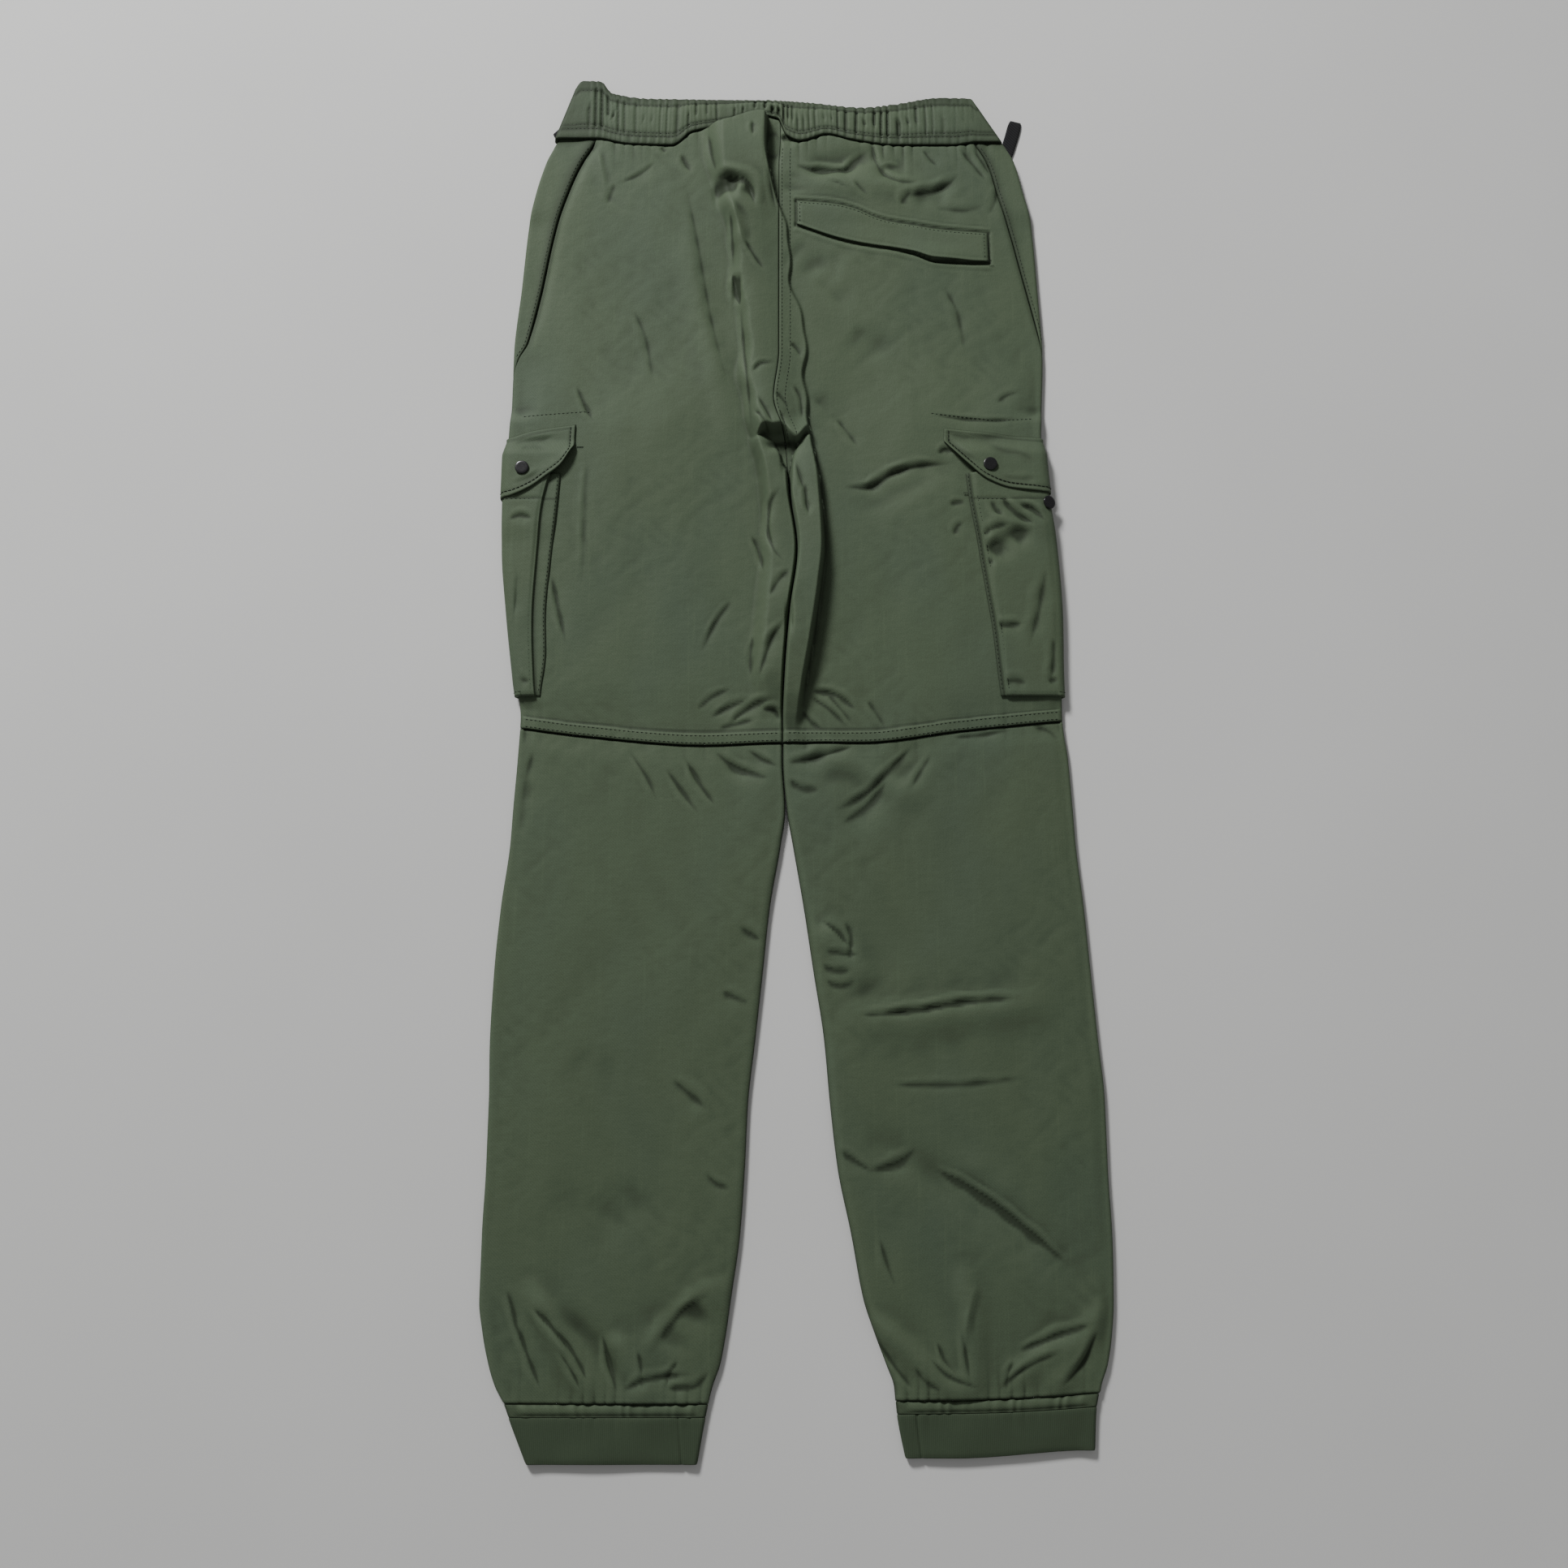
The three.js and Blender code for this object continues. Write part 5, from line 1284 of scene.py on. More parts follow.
def pocket_depth(side, y, along):
    pocket = POCKETS[side]
    face = pocket["seam"].at("face", y)
    share = smooth((along + QUARTER_ARC) / (2 * QUARTER_ARC))
    full = mix(POCKET_CLOTH, pocket["rise"], share)
    return mix(full, POCKET_CLOTH, smooth((along - face + 1.3) / 1.1))


def pocket_ground(side, y, along):
    """Points on the leg under a pocket, with some of the cloth's fine form, and their normals."""
    plain, out, _ = leg_point(side, y, along, False)
    fine = leg_point(side, y, along)[0]
    on_top = (along > QUARTER_ARC)[..., None]
    return np.where(on_top, mix(plain, fine, FORM_UNDER_POCKET), plain), out


def strip_piece(name, side, y, along, inside, outside, wear_and_painted_light):
    """A strip on a leg: y and along are rows by columns, inside and outside are heights on it."""
    base, out = pocket_ground(side, y, along)
    low = base + out * inside[..., None]
    high = base + out * outside[..., None]
    return wall_piece(name, high, low, wear_and_painted_light=wear_and_painted_light)


def make_pocket(side, label):
    pocket = POCKETS[side]
    y = rows_between(pocket["mouth"], pocket["bottom"], 1.4)[:, None]
    at = pocket["seam"].at("at", y)
    face = pocket["seam"].at("face", y)
    q = QUARTER_ARC
    gusset = at + (face - at) * np.linspace(0, 1, 7)[None, :-1]
    fold = face - POCKET_FOLD * np.linspace(0, 1, 8)[None, :-1]
    top = (face - POCKET_FOLD) + (q - face + POCKET_FOLD) * np.linspace(0, 1, 34)[None, :-1]
    arc = q * np.linspace(1, -1, 9)[None, :-1] * np.ones_like(y)
    under = -q - pocket["under"] * np.linspace(0, 1, 26)[None, :] * np.ones_like(y)
    along = np.concatenate([gusset, fold, top, arc, under], axis=1)
    y = y * np.ones_like(along)
    x = leg_point(side, y, along, False)[0][..., 0]
    depth = pocket_depth(side, y, along)
    on_face = smooth((along - q) / 4) * smooth((face - 1.5 - along) / 3)
    folds = creases(POCKET_CREASES, x, y)
    depth = depth + on_face * (0.6 + 1.2 * folds + 0.5 * drape(x * 1.6, y * 1.6))
    mouth = pocket["mouth"] - POCKET_HEM - y
    depth = depth - 0.4 * on_face * bell(mouth / 1.1)
    foot = y - pocket["bottom"]
    depth = depth - 0.8 * smooth(1 - foot / 3) * (along > q)
    side_edge = rolled(at - along, 1.2, 0.5)
    depth = np.maximum(depth - side_edge, 0.6)
    depth = np.where(along < q, np.minimum(depth, pocket["rise"]), depth)
    # Lighter, rubbed fold edge and foot; painted shade along the side seam, beside the fold, in the
    # hem line and in the creases' troughs, with a lighter rubbed and painted highlight on their
    # ridges.
    wear_and_painted_light = 0.15 * bell((along - face + 2.4) / 1.4) + 0.2 * bell((foot - 1.5) / 1.6)
    wear_and_painted_light = wear_and_painted_light - bell((at - along) / 1.2) - bell((along - face - 0.4) / 1.0)
    wear_and_painted_light = wear_and_painted_light - 0.8 * bell(mouth / 0.9) + on_face * clamp(bank(folds), -1, 0.4)
    inside = np.full_like(along, GAP)
    return strip_piece(
        "cargo_pocket_cloth_" + label, side, y, along, inside, inside + depth, clamp(wear_and_painted_light, -1, 1),
    )


def flap_inside(side, y, along):
    pocket = POCKETS[side]
    over = 1 - smooth((y - pocket["mouth"] - 14) / 14)
    q = QUARTER_ARC
    full = mix(POCKET_CLOTH, pocket["rise"], smooth((along + q) / (2 * q)))
    return GAP + over * (full + GAP)


def flap_curl(side, y, along):
    """How far the flap stands off the pocket, most at its free edge."""
    pocket = POCKETS[side]
    low = pocket["low"].at("y", along)
    high = pocket["top"].at("y", along)
    share = (high - y) / (high - low)
    top = smooth((along - QUARTER_ARC) / 6)
    wave = 0.25 * np.sin(along / 7.0) * smooth(share / 0.5)
    return top * (0.9 * smooth((share - 0.62) / 0.38) + wave)


def make_flap(side, label):
    pocket = POCKETS[side]
    q = QUARTER_ARC
    low, high = pocket["top"].key[0], pocket["top"].key[-1]
    back = high + (q - high) * (1 - (1 - np.linspace(0, 1, 44)[:-1]) ** 0.8)
    edge = np.array([high, high - 0.5, high - 1.1, high - 1.8])
    back = np.concatenate([edge, back[back < high - 2.2]])
    arc = q * np.linspace(1, -1, 9)[:-1]
    front = -q + (low + q) * np.linspace(0, 1, 36)
    along = np.concatenate([back, arc, front])
    share = np.concatenate([
        [0, 0.012, 0.03, 0.05], np.linspace(0.08, 0.92, 26), [0.95, 0.97, 0.988, 1],
    ])
    top = pocket["top"].at("y", along)
    bottom = pocket["low"].at("y", along)
    y = top + (bottom - top) * share[:, None]
    along = along * np.ones_like(y)
    x = leg_point(side, y, along, False)[0][..., 0]
    inside = flap_inside(side, y, along) + flap_curl(side, y, along)
    from_edge = np.minimum(np.minimum(y - bottom, high - along), top - y)
    face = creases(FLAP_CREASES, x, y) + 0.3 * drape(x * 1.5, y * 1.5)
    face = smooth((along - q) / 4) * face
    thick = FLAP_CLOTH - rolled(from_edge, 1.2, 0.7) + face
    thick = thick - 0.35 * bell((from_edge - FLAP_STITCH_INSET) / 0.9)
    thick = np.maximum(thick, 0.45)
    inside = inside - 1.1 * bell((top - y) / 1.3) * (along > 0)
    # Lighter, rubbed edge; painted shade along the sewn top, the stitch line, the very edge and the
    # creases' troughs.
    wear_and_painted_light = 0.25 * bell((from_edge - 0.9) / 1.2) - 1.4 * bell((top - y) / 1.2)
    wear_and_painted_light = wear_and_painted_light - 0.5 * bell((from_edge - FLAP_STITCH_INSET) / 0.8) - bell(from_edge / 0.5)
    wear_and_painted_light = clamp(wear_and_painted_light + 0.6 * np.minimum(face, 0), -1, 1)
    return strip_piece("cargo_flap_cloth_" + label, side, y, along, inside, inside + thick, wear_and_painted_light)


def welt_lines(x):
    return WELT.at("top", x), WELT.at("mouth", x)


def welt_height(x, share):
    open_mouth = 2.4 * bell((x - 116) / 24) * smooth((share - 0.4) / 0.6)
    return 0.15 + 1.1 * share ** 2 + open_mouth + 0.35 * np.sin(math.pi * share)


def welt_ground(x, y):
    """The height of the seat's cloth under the welt, with some of its fine form."""
    return mix(top_height(RIGHT, x, y, False), top_height(RIGHT, x, y), FORM_UNDER_WELT)


def make_welt():
    x = np.linspace(WELT_LEFT, WELT_RIGHT, 150)
    share = np.concatenate([
        [0, 0.02, 0.05, 0.09], np.linspace(0.13, 0.88, 16), [0.92, 0.96, 0.985, 1],
    ])
    top, mouth = welt_lines(x)
    y = top + (mouth - top) * share[:, None]
    xs = x * np.ones_like(y)
    inner = welt_ground(xs, y) + welt_height(xs, share[:, None])
    sewn = np.minimum(np.minimum(xs - WELT_LEFT, WELT_RIGHT - xs), top - y)
    sink = 1.3 * bell(sewn / 1.4)
    outer = inner + 0.85 - 0.3 * bell((sewn - WELT_STITCH_INSET) / 0.8)
    outer = outer - 0.3 * bell((y - mouth - WELT_STITCH_INSET) / 0.8)
    outer = outer - rolled(y - mouth, 1.2, 0.4) - sink
    inner = np.minimum(inner - sink, outer - 0.5)
    # A lighter lip just above the mouth, rubbed and painted highlight; painted shade along the sewn
    # edges.
    wear_and_painted_light = clamp(0.4 * bell((y - mouth - 1.2) / 0.9) - 1.2 * bell(sewn / 1.0), -1, 1)
    high = np.stack([xs, y, outer], axis=-1)
    low = np.stack([xs, y, inner], axis=-1)
    return wall_piece("back_pocket_welt_cloth", high, low, wear_and_painted_light=wear_and_painted_light)


def eased(points, count):
    """A smooth route through points, by Catmull and Rom's curve, at even distances."""
    p = np.array(points, float)
    p = np.vstack([2 * p[0] - p[1], p, 2 * p[-1] - p[-2]])
    line = []
    for i in range(1, len(p) - 2):
        t = np.linspace(0, 1, 24, endpoint=False)[:, None]
        a, b, c, d = p[i - 1:i + 3]
        line.append(0.5 * (2 * b + (c - a) * t + (2 * a - 5 * b + 4 * c - d) * t ** 2
                           + (3 * b - a - 3 * c + d) * t ** 3))
    line = np.vstack(line + [p[-2:-1]])
    far = distances(line)
    return resampled(line, far, np.linspace(0, far[-1], count)), far[-1]


def make_tape(name):
    """One end of the drawstring: a flat woven tape with a softly rounded cut tip."""
    line, length = eased(TAPE_ROUTES[name], 120)
    direction = np.gradient(line, axis=0)
    direction /= np.linalg.norm(direction, axis=1, keepdims=True)
    across = np.stack([-direction[:, 1], direction[:, 0]], axis=1)
    places = np.array([-1, -0.94, -0.85, -0.6, -0.3, 0, 0.3, 0.6, 0.85, 0.94, 1])
    heights = np.array([0.5, 0.8, 0.97, 1, 0.97, 0.95, 0.97, 1, 0.97, 0.8, 0.5])
    half = np.full(len(line), TAPE_WIDTH / 2)
    half[-4:] *= (0.99, 0.96, 0.9, 0.8)
    spots = line[:, None, :] + across[:, None, :] * (places[None, :, None] * half[:, None, None])
    high = TAPE_FLOOR + TAPE_THICKNESS * heights[None, :] * np.ones((len(line), 1))
    high[-3:] *= np.array([0.95, 0.85, 0.7])[:, None]
    low = np.full_like(high, TAPE_FLOOR)
    outer = np.concatenate([spots, high[..., None]], axis=2)
    inner = np.concatenate([spots, low[..., None]], axis=2)
    piece = wall_piece(name + "_tape", outer, inner)
    path = placed(np.column_stack([line, np.full(len(line), TAPE_FLOOR + TAPE_THICKNESS / 2)]))
    return piece, path, length / 1000


def on_leg(side, line, above=THREAD_ABOVE):
    """A line of (x, y) places as points on the leg's upper cloth, with their normals."""
    p = np.array(line, float)
    x, y = p[:, 0], p[:, 1]
    z = top_height(side, x, y)
    slope_x = (top_height(side, x + 0.6, y) - top_height(side, x - 0.6, y)) / 1.2
    slope_y = (top_height(side, x, y + 0.6) - top_height(side, x, y - 0.6)) / 1.2
    normal = np.stack([-slope_x, -slope_y, np.ones_like(x)], axis=1)
    normal /= np.linalg.norm(normal, axis=1, keepdims=True)
    return np.stack([x, y, z], axis=1) + above * normal, normal


def route(points, step=1.0):
    """A line of (x, y) places through a few of them, a step apart."""
    p = np.array(points, float)
    far = distances(p)
    return resampled(p, far, np.arange(0, far[-1], step))


def model_stitch():
    """One stitch, along X: a short thread whose ends dive into the cloth."""
    fresh()
    bpy.ops.mesh.primitive_cylinder_add(
        vertices=6, radius=THREAD_RADIUS, depth=STITCH_LENGTH, rotation=(0, math.pi / 2, 0)
    )
    stitch = bpy.context.object
    bpy.ops.object.transform_apply(location=True, rotation=True, scale=True)
    bpy.ops.object.mode_set(mode="EDIT")
    for x in (-STITCH_BEND, STITCH_BEND):
        bpy.ops.mesh.select_all(action="SELECT")
        bpy.ops.mesh.bisect(plane_co=(x, 0, 0), plane_no=(1, 0, 0))
    bpy.ops.object.mode_set(mode="OBJECT")
    for vertex in stitch.data.vertices:
        vertex.select = abs(vertex.co.x) > 1
    bpy.ops.object.mode_set(mode="EDIT")
    bpy.ops.transform.translate(value=(0, 0, -STITCH_DIVE))
    bpy.ops.transform.resize(value=(1, 0.6, 0.7), center_override=(0, 0, -STITCH_DIVE))
    bpy.ops.object.mode_set(mode="OBJECT")
    return taken_apart(stitch)


def taken_apart(model):
    """A modelled object's points and faces; the object itself is removed."""
    points = np.array([vertex.co for vertex in model.data.vertices])
    faces = [list(polygon.vertices) for polygon in model.data.polygons]
    bpy.data.objects.remove(model)
    return points, faces


def stitches(name, paths, pitch, size=1.0):
    """Stitches along paths of points and normals, as one piece."""
    stitch_points, stitch_faces = model_stitch()
    points, faces, count = [], [], 0
    for line, normal in paths:
        far = distances(line)
        for n, place in enumerate(np.arange(pitch / 2, far[-1], pitch)):
            i = min(max(int(np.searchsorted(far, place)) - 1, 0), len(line) - 2)
            t = (place - far[i]) / max(far[i + 1] - far[i], 1e-6)
            middle = mix(line[i], line[i + 1], t)
            ahead = line[min(i + 2, len(line) - 1)] - line[max(i - 1, 0)]
            up = normal[i]
            ahead = ahead - up * np.dot(ahead, up)
            ahead = ahead / max(np.linalg.norm(ahead), 1e-6)
            side = np.cross(up, ahead)
            lean = 0.09 * math.sin(2.1 * n)
            frame_axes = np.stack([ahead + lean * side, side - lean * ahead, up])
            points.append(middle + (stitch_points * size) @ frame_axes)
            faces.extend([[k + count for k in face] for face in stitch_faces])
            count += len(stitch_points)
    points = np.concatenate(points)
    points[:, 2] = np.maximum(points[:, 2], LOWEST_THREAD)
    return mesh_piece(name, placed(points), faces)


def with_upright(line):
    """A line of points with a normal for each, straight up."""
    return line, np.broadcast_to((0.0, 0.0, 1.0), line.shape)


def band_path(level):
    x = np.arange(-180, 164, 1.0)
    y = mix(band_seam(x) + BAND_CLEARANCE, WAIST_TOP.at("y", x), level)
    inside = (x > mix(-184, -170, level)) & (x < mix(166, 147, level))
    z = WAIST_LIFT + 2 * BAND_EDGE_RADIUS + band_height(x, level)
    return with_upright(np.stack([x, y, z], axis=1)[inside])


def seam_inset_path(side, inset, high, low):
    """A line beside the inner edge of a leg's back."""
    y = np.arange(high, low, -1.0)
    x = leg_edges(side, y)[1] + side * inset
    return on_leg(side, np.stack([x, y], axis=1))


def side_path(side, inset, high, low):
    """A line beside the side seam, on the front's cloth when the inset is negative."""
    y = np.arange(high, low, -1.0)
    points, out, _ = leg_point(side, y, seam_at(side, y) + inset)
    return points + THREAD_ABOVE * out, out


def knee_path(side, above):
    """A line on the knee band, above the knee seam."""
    low, high = (-196, -8) if side == LEFT else (-2, 198)
    x = np.arange(low, high, 1.0)
    y = KNEE_SEAM.at("y", x) + above
    line, normal = on_leg(side, np.stack([x, y], axis=1))
    line[:, 2] += KNEE_BAND_RISE
    return line, normal


def flap_path(side, inset):
    """A line inside the flap's free edge."""
    pocket = POCKETS[side]
    low, high = pocket["top"].key[0] + inset, pocket["top"].key[-1] - inset
    along = np.arange(high, low, -1.0)
    y = pocket["low"].at("y", along) + inset * 1.15
    start = np.stack([np.full(20, high), np.linspace(pocket["top"].at("y", high) - 2, y[0], 20)])
    along = np.concatenate([start[0], along])
    y = np.concatenate([start[1], y])
    return flap_points(side, y, along)


def flap_points(side, y, along):
    base, out = pocket_ground(side, y, along)
    rise = flap_inside(side, y, along) + flap_curl(side, y, along) + FLAP_CLOTH + THREAD_ABOVE
    return base + out * rise[:, None], out


def pocket_path(side, y, along):
    y, along = np.broadcast_arrays(np.asarray(y, float), np.asarray(along, float))
    base, out = pocket_ground(side, y, along)
    rise = GAP + pocket_depth(side, y, along) + 0.05
    return base + out * rise[:, None], out


def welt_path(inset):
    x = np.arange(WELT_LEFT + inset, WELT_RIGHT - inset, 1.0)
    top, mouth = welt_lines(x)
    left = np.linspace(mouth[0] + inset, top[0] - inset, 18)
    right = np.linspace(top[-1] - inset, mouth[-1] + inset, 24)
    xs = np.concatenate([np.full(18, x[0]), x, np.full(24, x[-1])])
    ys = np.concatenate([left, top - inset, right])
    return welt_points(xs, ys)


def welt_points(xs, ys):
    top, mouth = welt_lines(xs)
    z = welt_ground(xs, ys) + welt_height(xs, clamp((top - ys) / (top - mouth), 0, 1)) + 0.62
    return with_upright(np.stack([xs, ys, z], axis=1))


def bartack_path(side, x, y, length, above=0.2):
    """A dense short bar of thread, as two close lines."""
    paths = []
    for shift in (-0.4, 0.4):
        line = route([(x - length / 2, y + shift), (x + length / 2, y + shift)], 0.5)
        paths.append(on_leg(side, line, above))
    return paths


def model_snap():
    """A snap fastener's cap: a bevelled rim, and a face that rises to an almost flat middle."""
    fresh()
    bpy.ops.mesh.primitive_cylinder_add(
        vertices=48, radius=CAP_RADIUS, depth=CAP_HEIGHT, location=(0, 0, CAP_HEIGHT / 2)
    )
    cap = bpy.context.object
    bpy.ops.object.transform_apply(location=True, rotation=True, scale=True)
    for polygon in cap.data.polygons:
        polygon.select = polygon.normal.z > 0.9
    for edge in cap.data.edges:
        edge.select = False
    for vertex in cap.data.vertices:
        vertex.select = vertex.co.z > 1
    bpy.ops.object.mode_set(mode="EDIT")
    for thickness, rise in CAP_STEPS:
        bpy.ops.mesh.inset(thickness=thickness, depth=0)
        bpy.ops.transform.translate(value=(0, 0, rise))
    bpy.ops.object.mode_set(mode="OBJECT")
    bevel = cap.modifiers.new("Rim", "BEVEL")
    bevel.width = 0.25
    bevel.segments = 3
    bevel.limit_method = "ANGLE"
    bpy.ops.object.modifier_apply(modifier=bevel.name)
    return taken_apart(cap)


def make_snap(name, side, at, y, on_flap):
    points, faces = model_snap()
    spot = (np.array([float(y)]), np.array([float(at)]))
    line, out = (flap_points if on_flap else pocket_path)(side, *spot)
    up = Vector(out[0])
    turn = np.array(Vector((0, 0, 1)).rotation_difference(up).to_matrix())
    made = points @ turn.T + line[0] + out[0] * THREAD_ABOVE
    return mesh_piece(name + "_cap", placed(made), faces)


class Wire:
    """A node's socket, with arithmetic that adds the Math nodes."""

    def __init__(self, finish, socket):
        self.finish = finish
        self.socket = socket

    def with_math(self, operation, first, second):
        return self.finish.node("ShaderNodeMath", {"operation": operation}, (first, second))

    def __add__(self, other):
        return self.with_math("ADD", self, other)

    def __radd__(self, other):
        return self.with_math("ADD", other, self)

    def __sub__(self, other):
        return self.with_math("SUBTRACT", self, other)

    def __rsub__(self, other):
        return self.with_math("SUBTRACT", other, self)

    def __mul__(self, other):
        return self.with_math("MULTIPLY", self, other)


class Finish:
    """A procedural material: its nodes, its places in millimetres and its shader."""

    def __init__(self, name, sheen=0.0, coat=0.0, gloss=0.16):
        self.material = bpy.data.materials.new(name)
        self.material.use_nodes = True
        self.tree = self.material.node_tree
        self.shader = self.tree.nodes["Principled BSDF"]
        settings = {
            "Sheen Weight": sheen, "Sheen Roughness": 0.45, "Sheen Tint": (0.75, 0.85, 0.72, 1),
            "Coat Weight": coat, "Specular IOR Level": gloss,
        }
        for socket, value in settings.items():
            self.shader.inputs[socket].default_value = value
        place = self.node("ShaderNodeTexCoord", {}, (), "Object")
        self.place = self.scaled(place, (1000, 1000, 1000))

    def node(self, kind, settings, inputs, output=0):
        """One node: its settings first, then its sockets by order or by name."""
        made = self.tree.nodes.new(kind)
        for key, value in settings.items():
            setattr(made, key, value)
        pairs = inputs.items() if isinstance(inputs, dict) else enumerate(inputs)
        for key, value in pairs:
            if isinstance(value, Wire):
                self.tree.links.new(value.socket, made.inputs[key])
            else:
                made.inputs[key].default_value = value
        return Wire(self, made.outputs[output])

    def scaled(self, place, by):
        return self.node(
            "ShaderNodeVectorMath", {"operation": "MULTIPLY"}, (place, by), "Vector"
        )

    def noise(self, x, y, detail=2.0, roughness=0.5):
        """Noise from 0 to 1 whose grain is about 1 / x by 1 / y millimetres."""
        return self.node(
            "ShaderNodeTexNoise", {},
            {"Vector": self.scaled(self.place, (x, y, (x + y) / 2)), "Scale": 1.0,
             "Detail": detail, "Roughness": roughness},
            "Fac",
        )

    def wave(self, direction, pitch, distortion):
        """Bands a pitch of millimetres apart."""
        settings = {"bands_direction": direction, "wave_profile": "SIN"}
        scale = 2 * math.pi / 20 / pitch
        return self.node(
            "ShaderNodeTexWave", settings,
            {"Vector": self.place, "Scale": scale, "Distortion": distortion, "Detail": 1.0},
            "Fac",
        )

    def attribute(self, name):
        return self.node("ShaderNodeAttribute", {"attribute_name": name}, (), "Fac")

    def blend(self, first, second, share):
        """A colour between two colours; a Mix node's colour sockets are reached by number."""
        sockets = {0: share, 6: first, 7: second}
        return self.node("ShaderNodeMix", {"data_type": "RGBA"}, sockets, 2)

    def connect(self, colour, roughness, height=None, depth=0.0003, strength=1.0):
        links = self.tree.links
        links.new(colour.socket, self.shader.inputs["Base Color"])
        if isinstance(roughness, Wire):
            links.new(roughness.socket, self.shader.inputs["Roughness"])
        else:
            self.shader.inputs["Roughness"].default_value = roughness
        if height is not None:
            bump = self.node(
                "ShaderNodeBump", {},
                {"Strength": strength, "Distance": depth, "Height": height}, "Normal",
            )
            links.new(bump.socket, self.shader.inputs["Normal"])
        return self.material


def opaque(colour, scale=1.0):
    return (colour[0] * scale, colour[1] * scale, colour[2] * scale, 1)


def satin_cloth(colours):
    """Olive satin twill: fine upright grain, soft streaks, folds paled by rubbing and by a painted
    highlight, and painted shade in hollows, creases and seams.
    """
    f = Finish("satin_twill", sheen=0.03)
    base = colours.cloth
    broad = f.noise(0.011, 0.007, 2.0, 0.5)
    patch = f.noise(0.035, 0.018, 3.0, 0.6)
    streak = f.noise(0.30, 0.012, 3.0, 0.6)
    grain = f.noise(1.5, 0.42, 2.0, 0.6)
    slub = f.noise(0.5, 2.4, 1.0, 0.5)
    twill = f.wave("DIAGONAL", 1.1, 0.4)
    cool = (base[0] * 0.86, base[1] * 0.90, base[2] * 1.10)
    colour = f.blend(opaque(base, 1.03), opaque(cool, 0.98), (broad - 0.45) * 1.4)
    colour = f.blend(colour, opaque(base, 0.84), (patch - 0.52) * 1.5)
    colour = f.blend(colour, opaque(base, 1.28), (streak - 0.56) * 1.8)
    colour = f.blend(colour, opaque(base, 0.66), (grain - 0.45) * 0.85)
    colour = f.blend(colour, opaque(base, 1.34), (slub - 0.60) * 0.8)
    # The attribute's positive part is rubbed wear together with a painted highlight on ridges; its
    # negative part is painted shade.
    proud = f.attribute("wear_and_painted_light")
    worn_and_highlit = f.node("ShaderNodeMath", {"operation": "MAXIMUM"}, (proud, 0.0))
    hollow = f.node("ShaderNodeMath", {"operation": "MAXIMUM"}, (0.0 - proud, 0.0))
    rubbed_and_highlit = worn_and_highlit * (0.15 + f.noise(0.7, 0.7) * 0.5)
    colour = f.blend(colour, opaque(colours.worn_and_highlit), rubbed_and_highlit)
    # Painted shade: hollows, crease troughs and seams are darkened towards a third of the cloth's
    # colour.
    colour = f.blend(colour, opaque(base, 0.34), hollow * 0.85)
    roughness = 0.56 + patch * 0.12 + grain * 0.06
    crinkle = f.noise(0.10, 0.16, 3.0, 0.55)
    height = twill * 0.15 + grain * 0.35 + slub * 0.2 + crinkle * 0.9 + patch * 1.4
    return f.connect(colour, roughness, height, 0.0004, 0.7)


def stretch_cloth(colours):
    """The cuffs' dark stretch cloth, with fine upright ribs."""
    f = Finish("stretch_cuff", sheen=0.03)
    base = colours.cuff
    rib = f.wave("X", 0.9, 0.3)
    broad = f.noise(0.03, 0.05, 2.0)
    grain = f.noise(1.4, 1.4, 2.0)
    colour = f.blend(opaque(base, 0.80), opaque(base, 1.14), rib)
    colour = f.blend(colour, opaque(base, 1.22), (broad - 0.5) * 1.4)
    colour = f.blend(colour, opaque(base, 0.62), (grain - 0.50) * 0.9)
    colour = f.blend(colour, opaque(colours.worn_and_highlit, 0.8), f.attribute("wear_and_painted_light") * 0.35)
    return f.connect(colour, 0.66 + grain * 0.12, rib * 0.6 + grain * 0.5, 0.00018, 0.8)


def sewing_thread(colours):
    f = Finish("sewing_thread", sheen=0.05)
    twist = f.wave("DIAGONAL", 0.45, 0.2)
    tone = f.noise(0.2, 0.2)
    colour = f.blend(opaque(colours.thread, 0.7), opaque(colours.thread, 1.5), tone)
    return f.connect(colour, 0.6 + tone * 0.1, twist, 0.00010, 0.7)


def black_enamel():
    f = Finish("black_enamel", coat=0.35, gloss=0.4)
    scuff = f.noise(1.1, 1.1, 4.0, 0.7)
    colour = f.blend((0.006, 0.006, 0.007, 1), (0.03, 0.03, 0.033, 1), (scuff - 0.55) * 1.6)
    return f.connect(colour, 0.20 + scuff * 0.16, scuff, 0.00003, 0.5)


def woven_tape():
    f = Finish("woven_tape", sheen=0.08)
    rib = f.wave("DIAGONAL", 1.3, 0.6)
    grain = f.noise(1.2, 1.2, 2.0)
    colour = f.blend((0.004, 0.004, 0.005, 1), (0.018, 0.018, 0.020, 1), rib * 0.7 + grain * 0.3)
    return f.connect(colour, 0.75 + grain * 0.1, rib * 0.7 + grain * 0.4, 0.0003, 0.9)


def pale_floor():
    f = Finish("pale_floor")
    tone = f.noise(0.004, 0.004, 2.0)
    colour = f.blend((0.60, 0.60, 0.59, 1), (0.66, 0.66, 0.65, 1), tone)
    return f.connect(colour, 0.85 + tone * 0.05)


FINISHES = {}


def finish_for(kind):
    """The material of one kind, made once from the colours in the sidebar."""
    if kind not in FINISHES:
        colours = bpy.context.scene.trouser_colours
        makers = {
            "cloth": lambda: satin_cloth(colours),
            "cuff_cloth": lambda: stretch_cloth(colours),
            "thread": lambda: sewing_thread(colours),
            "snap_metal": black_enamel,
            "tape": woven_tape,
            "floor": pale_floor,
        }
        FINISHES[kind] = makers[kind]()
    return FINISHES[kind]


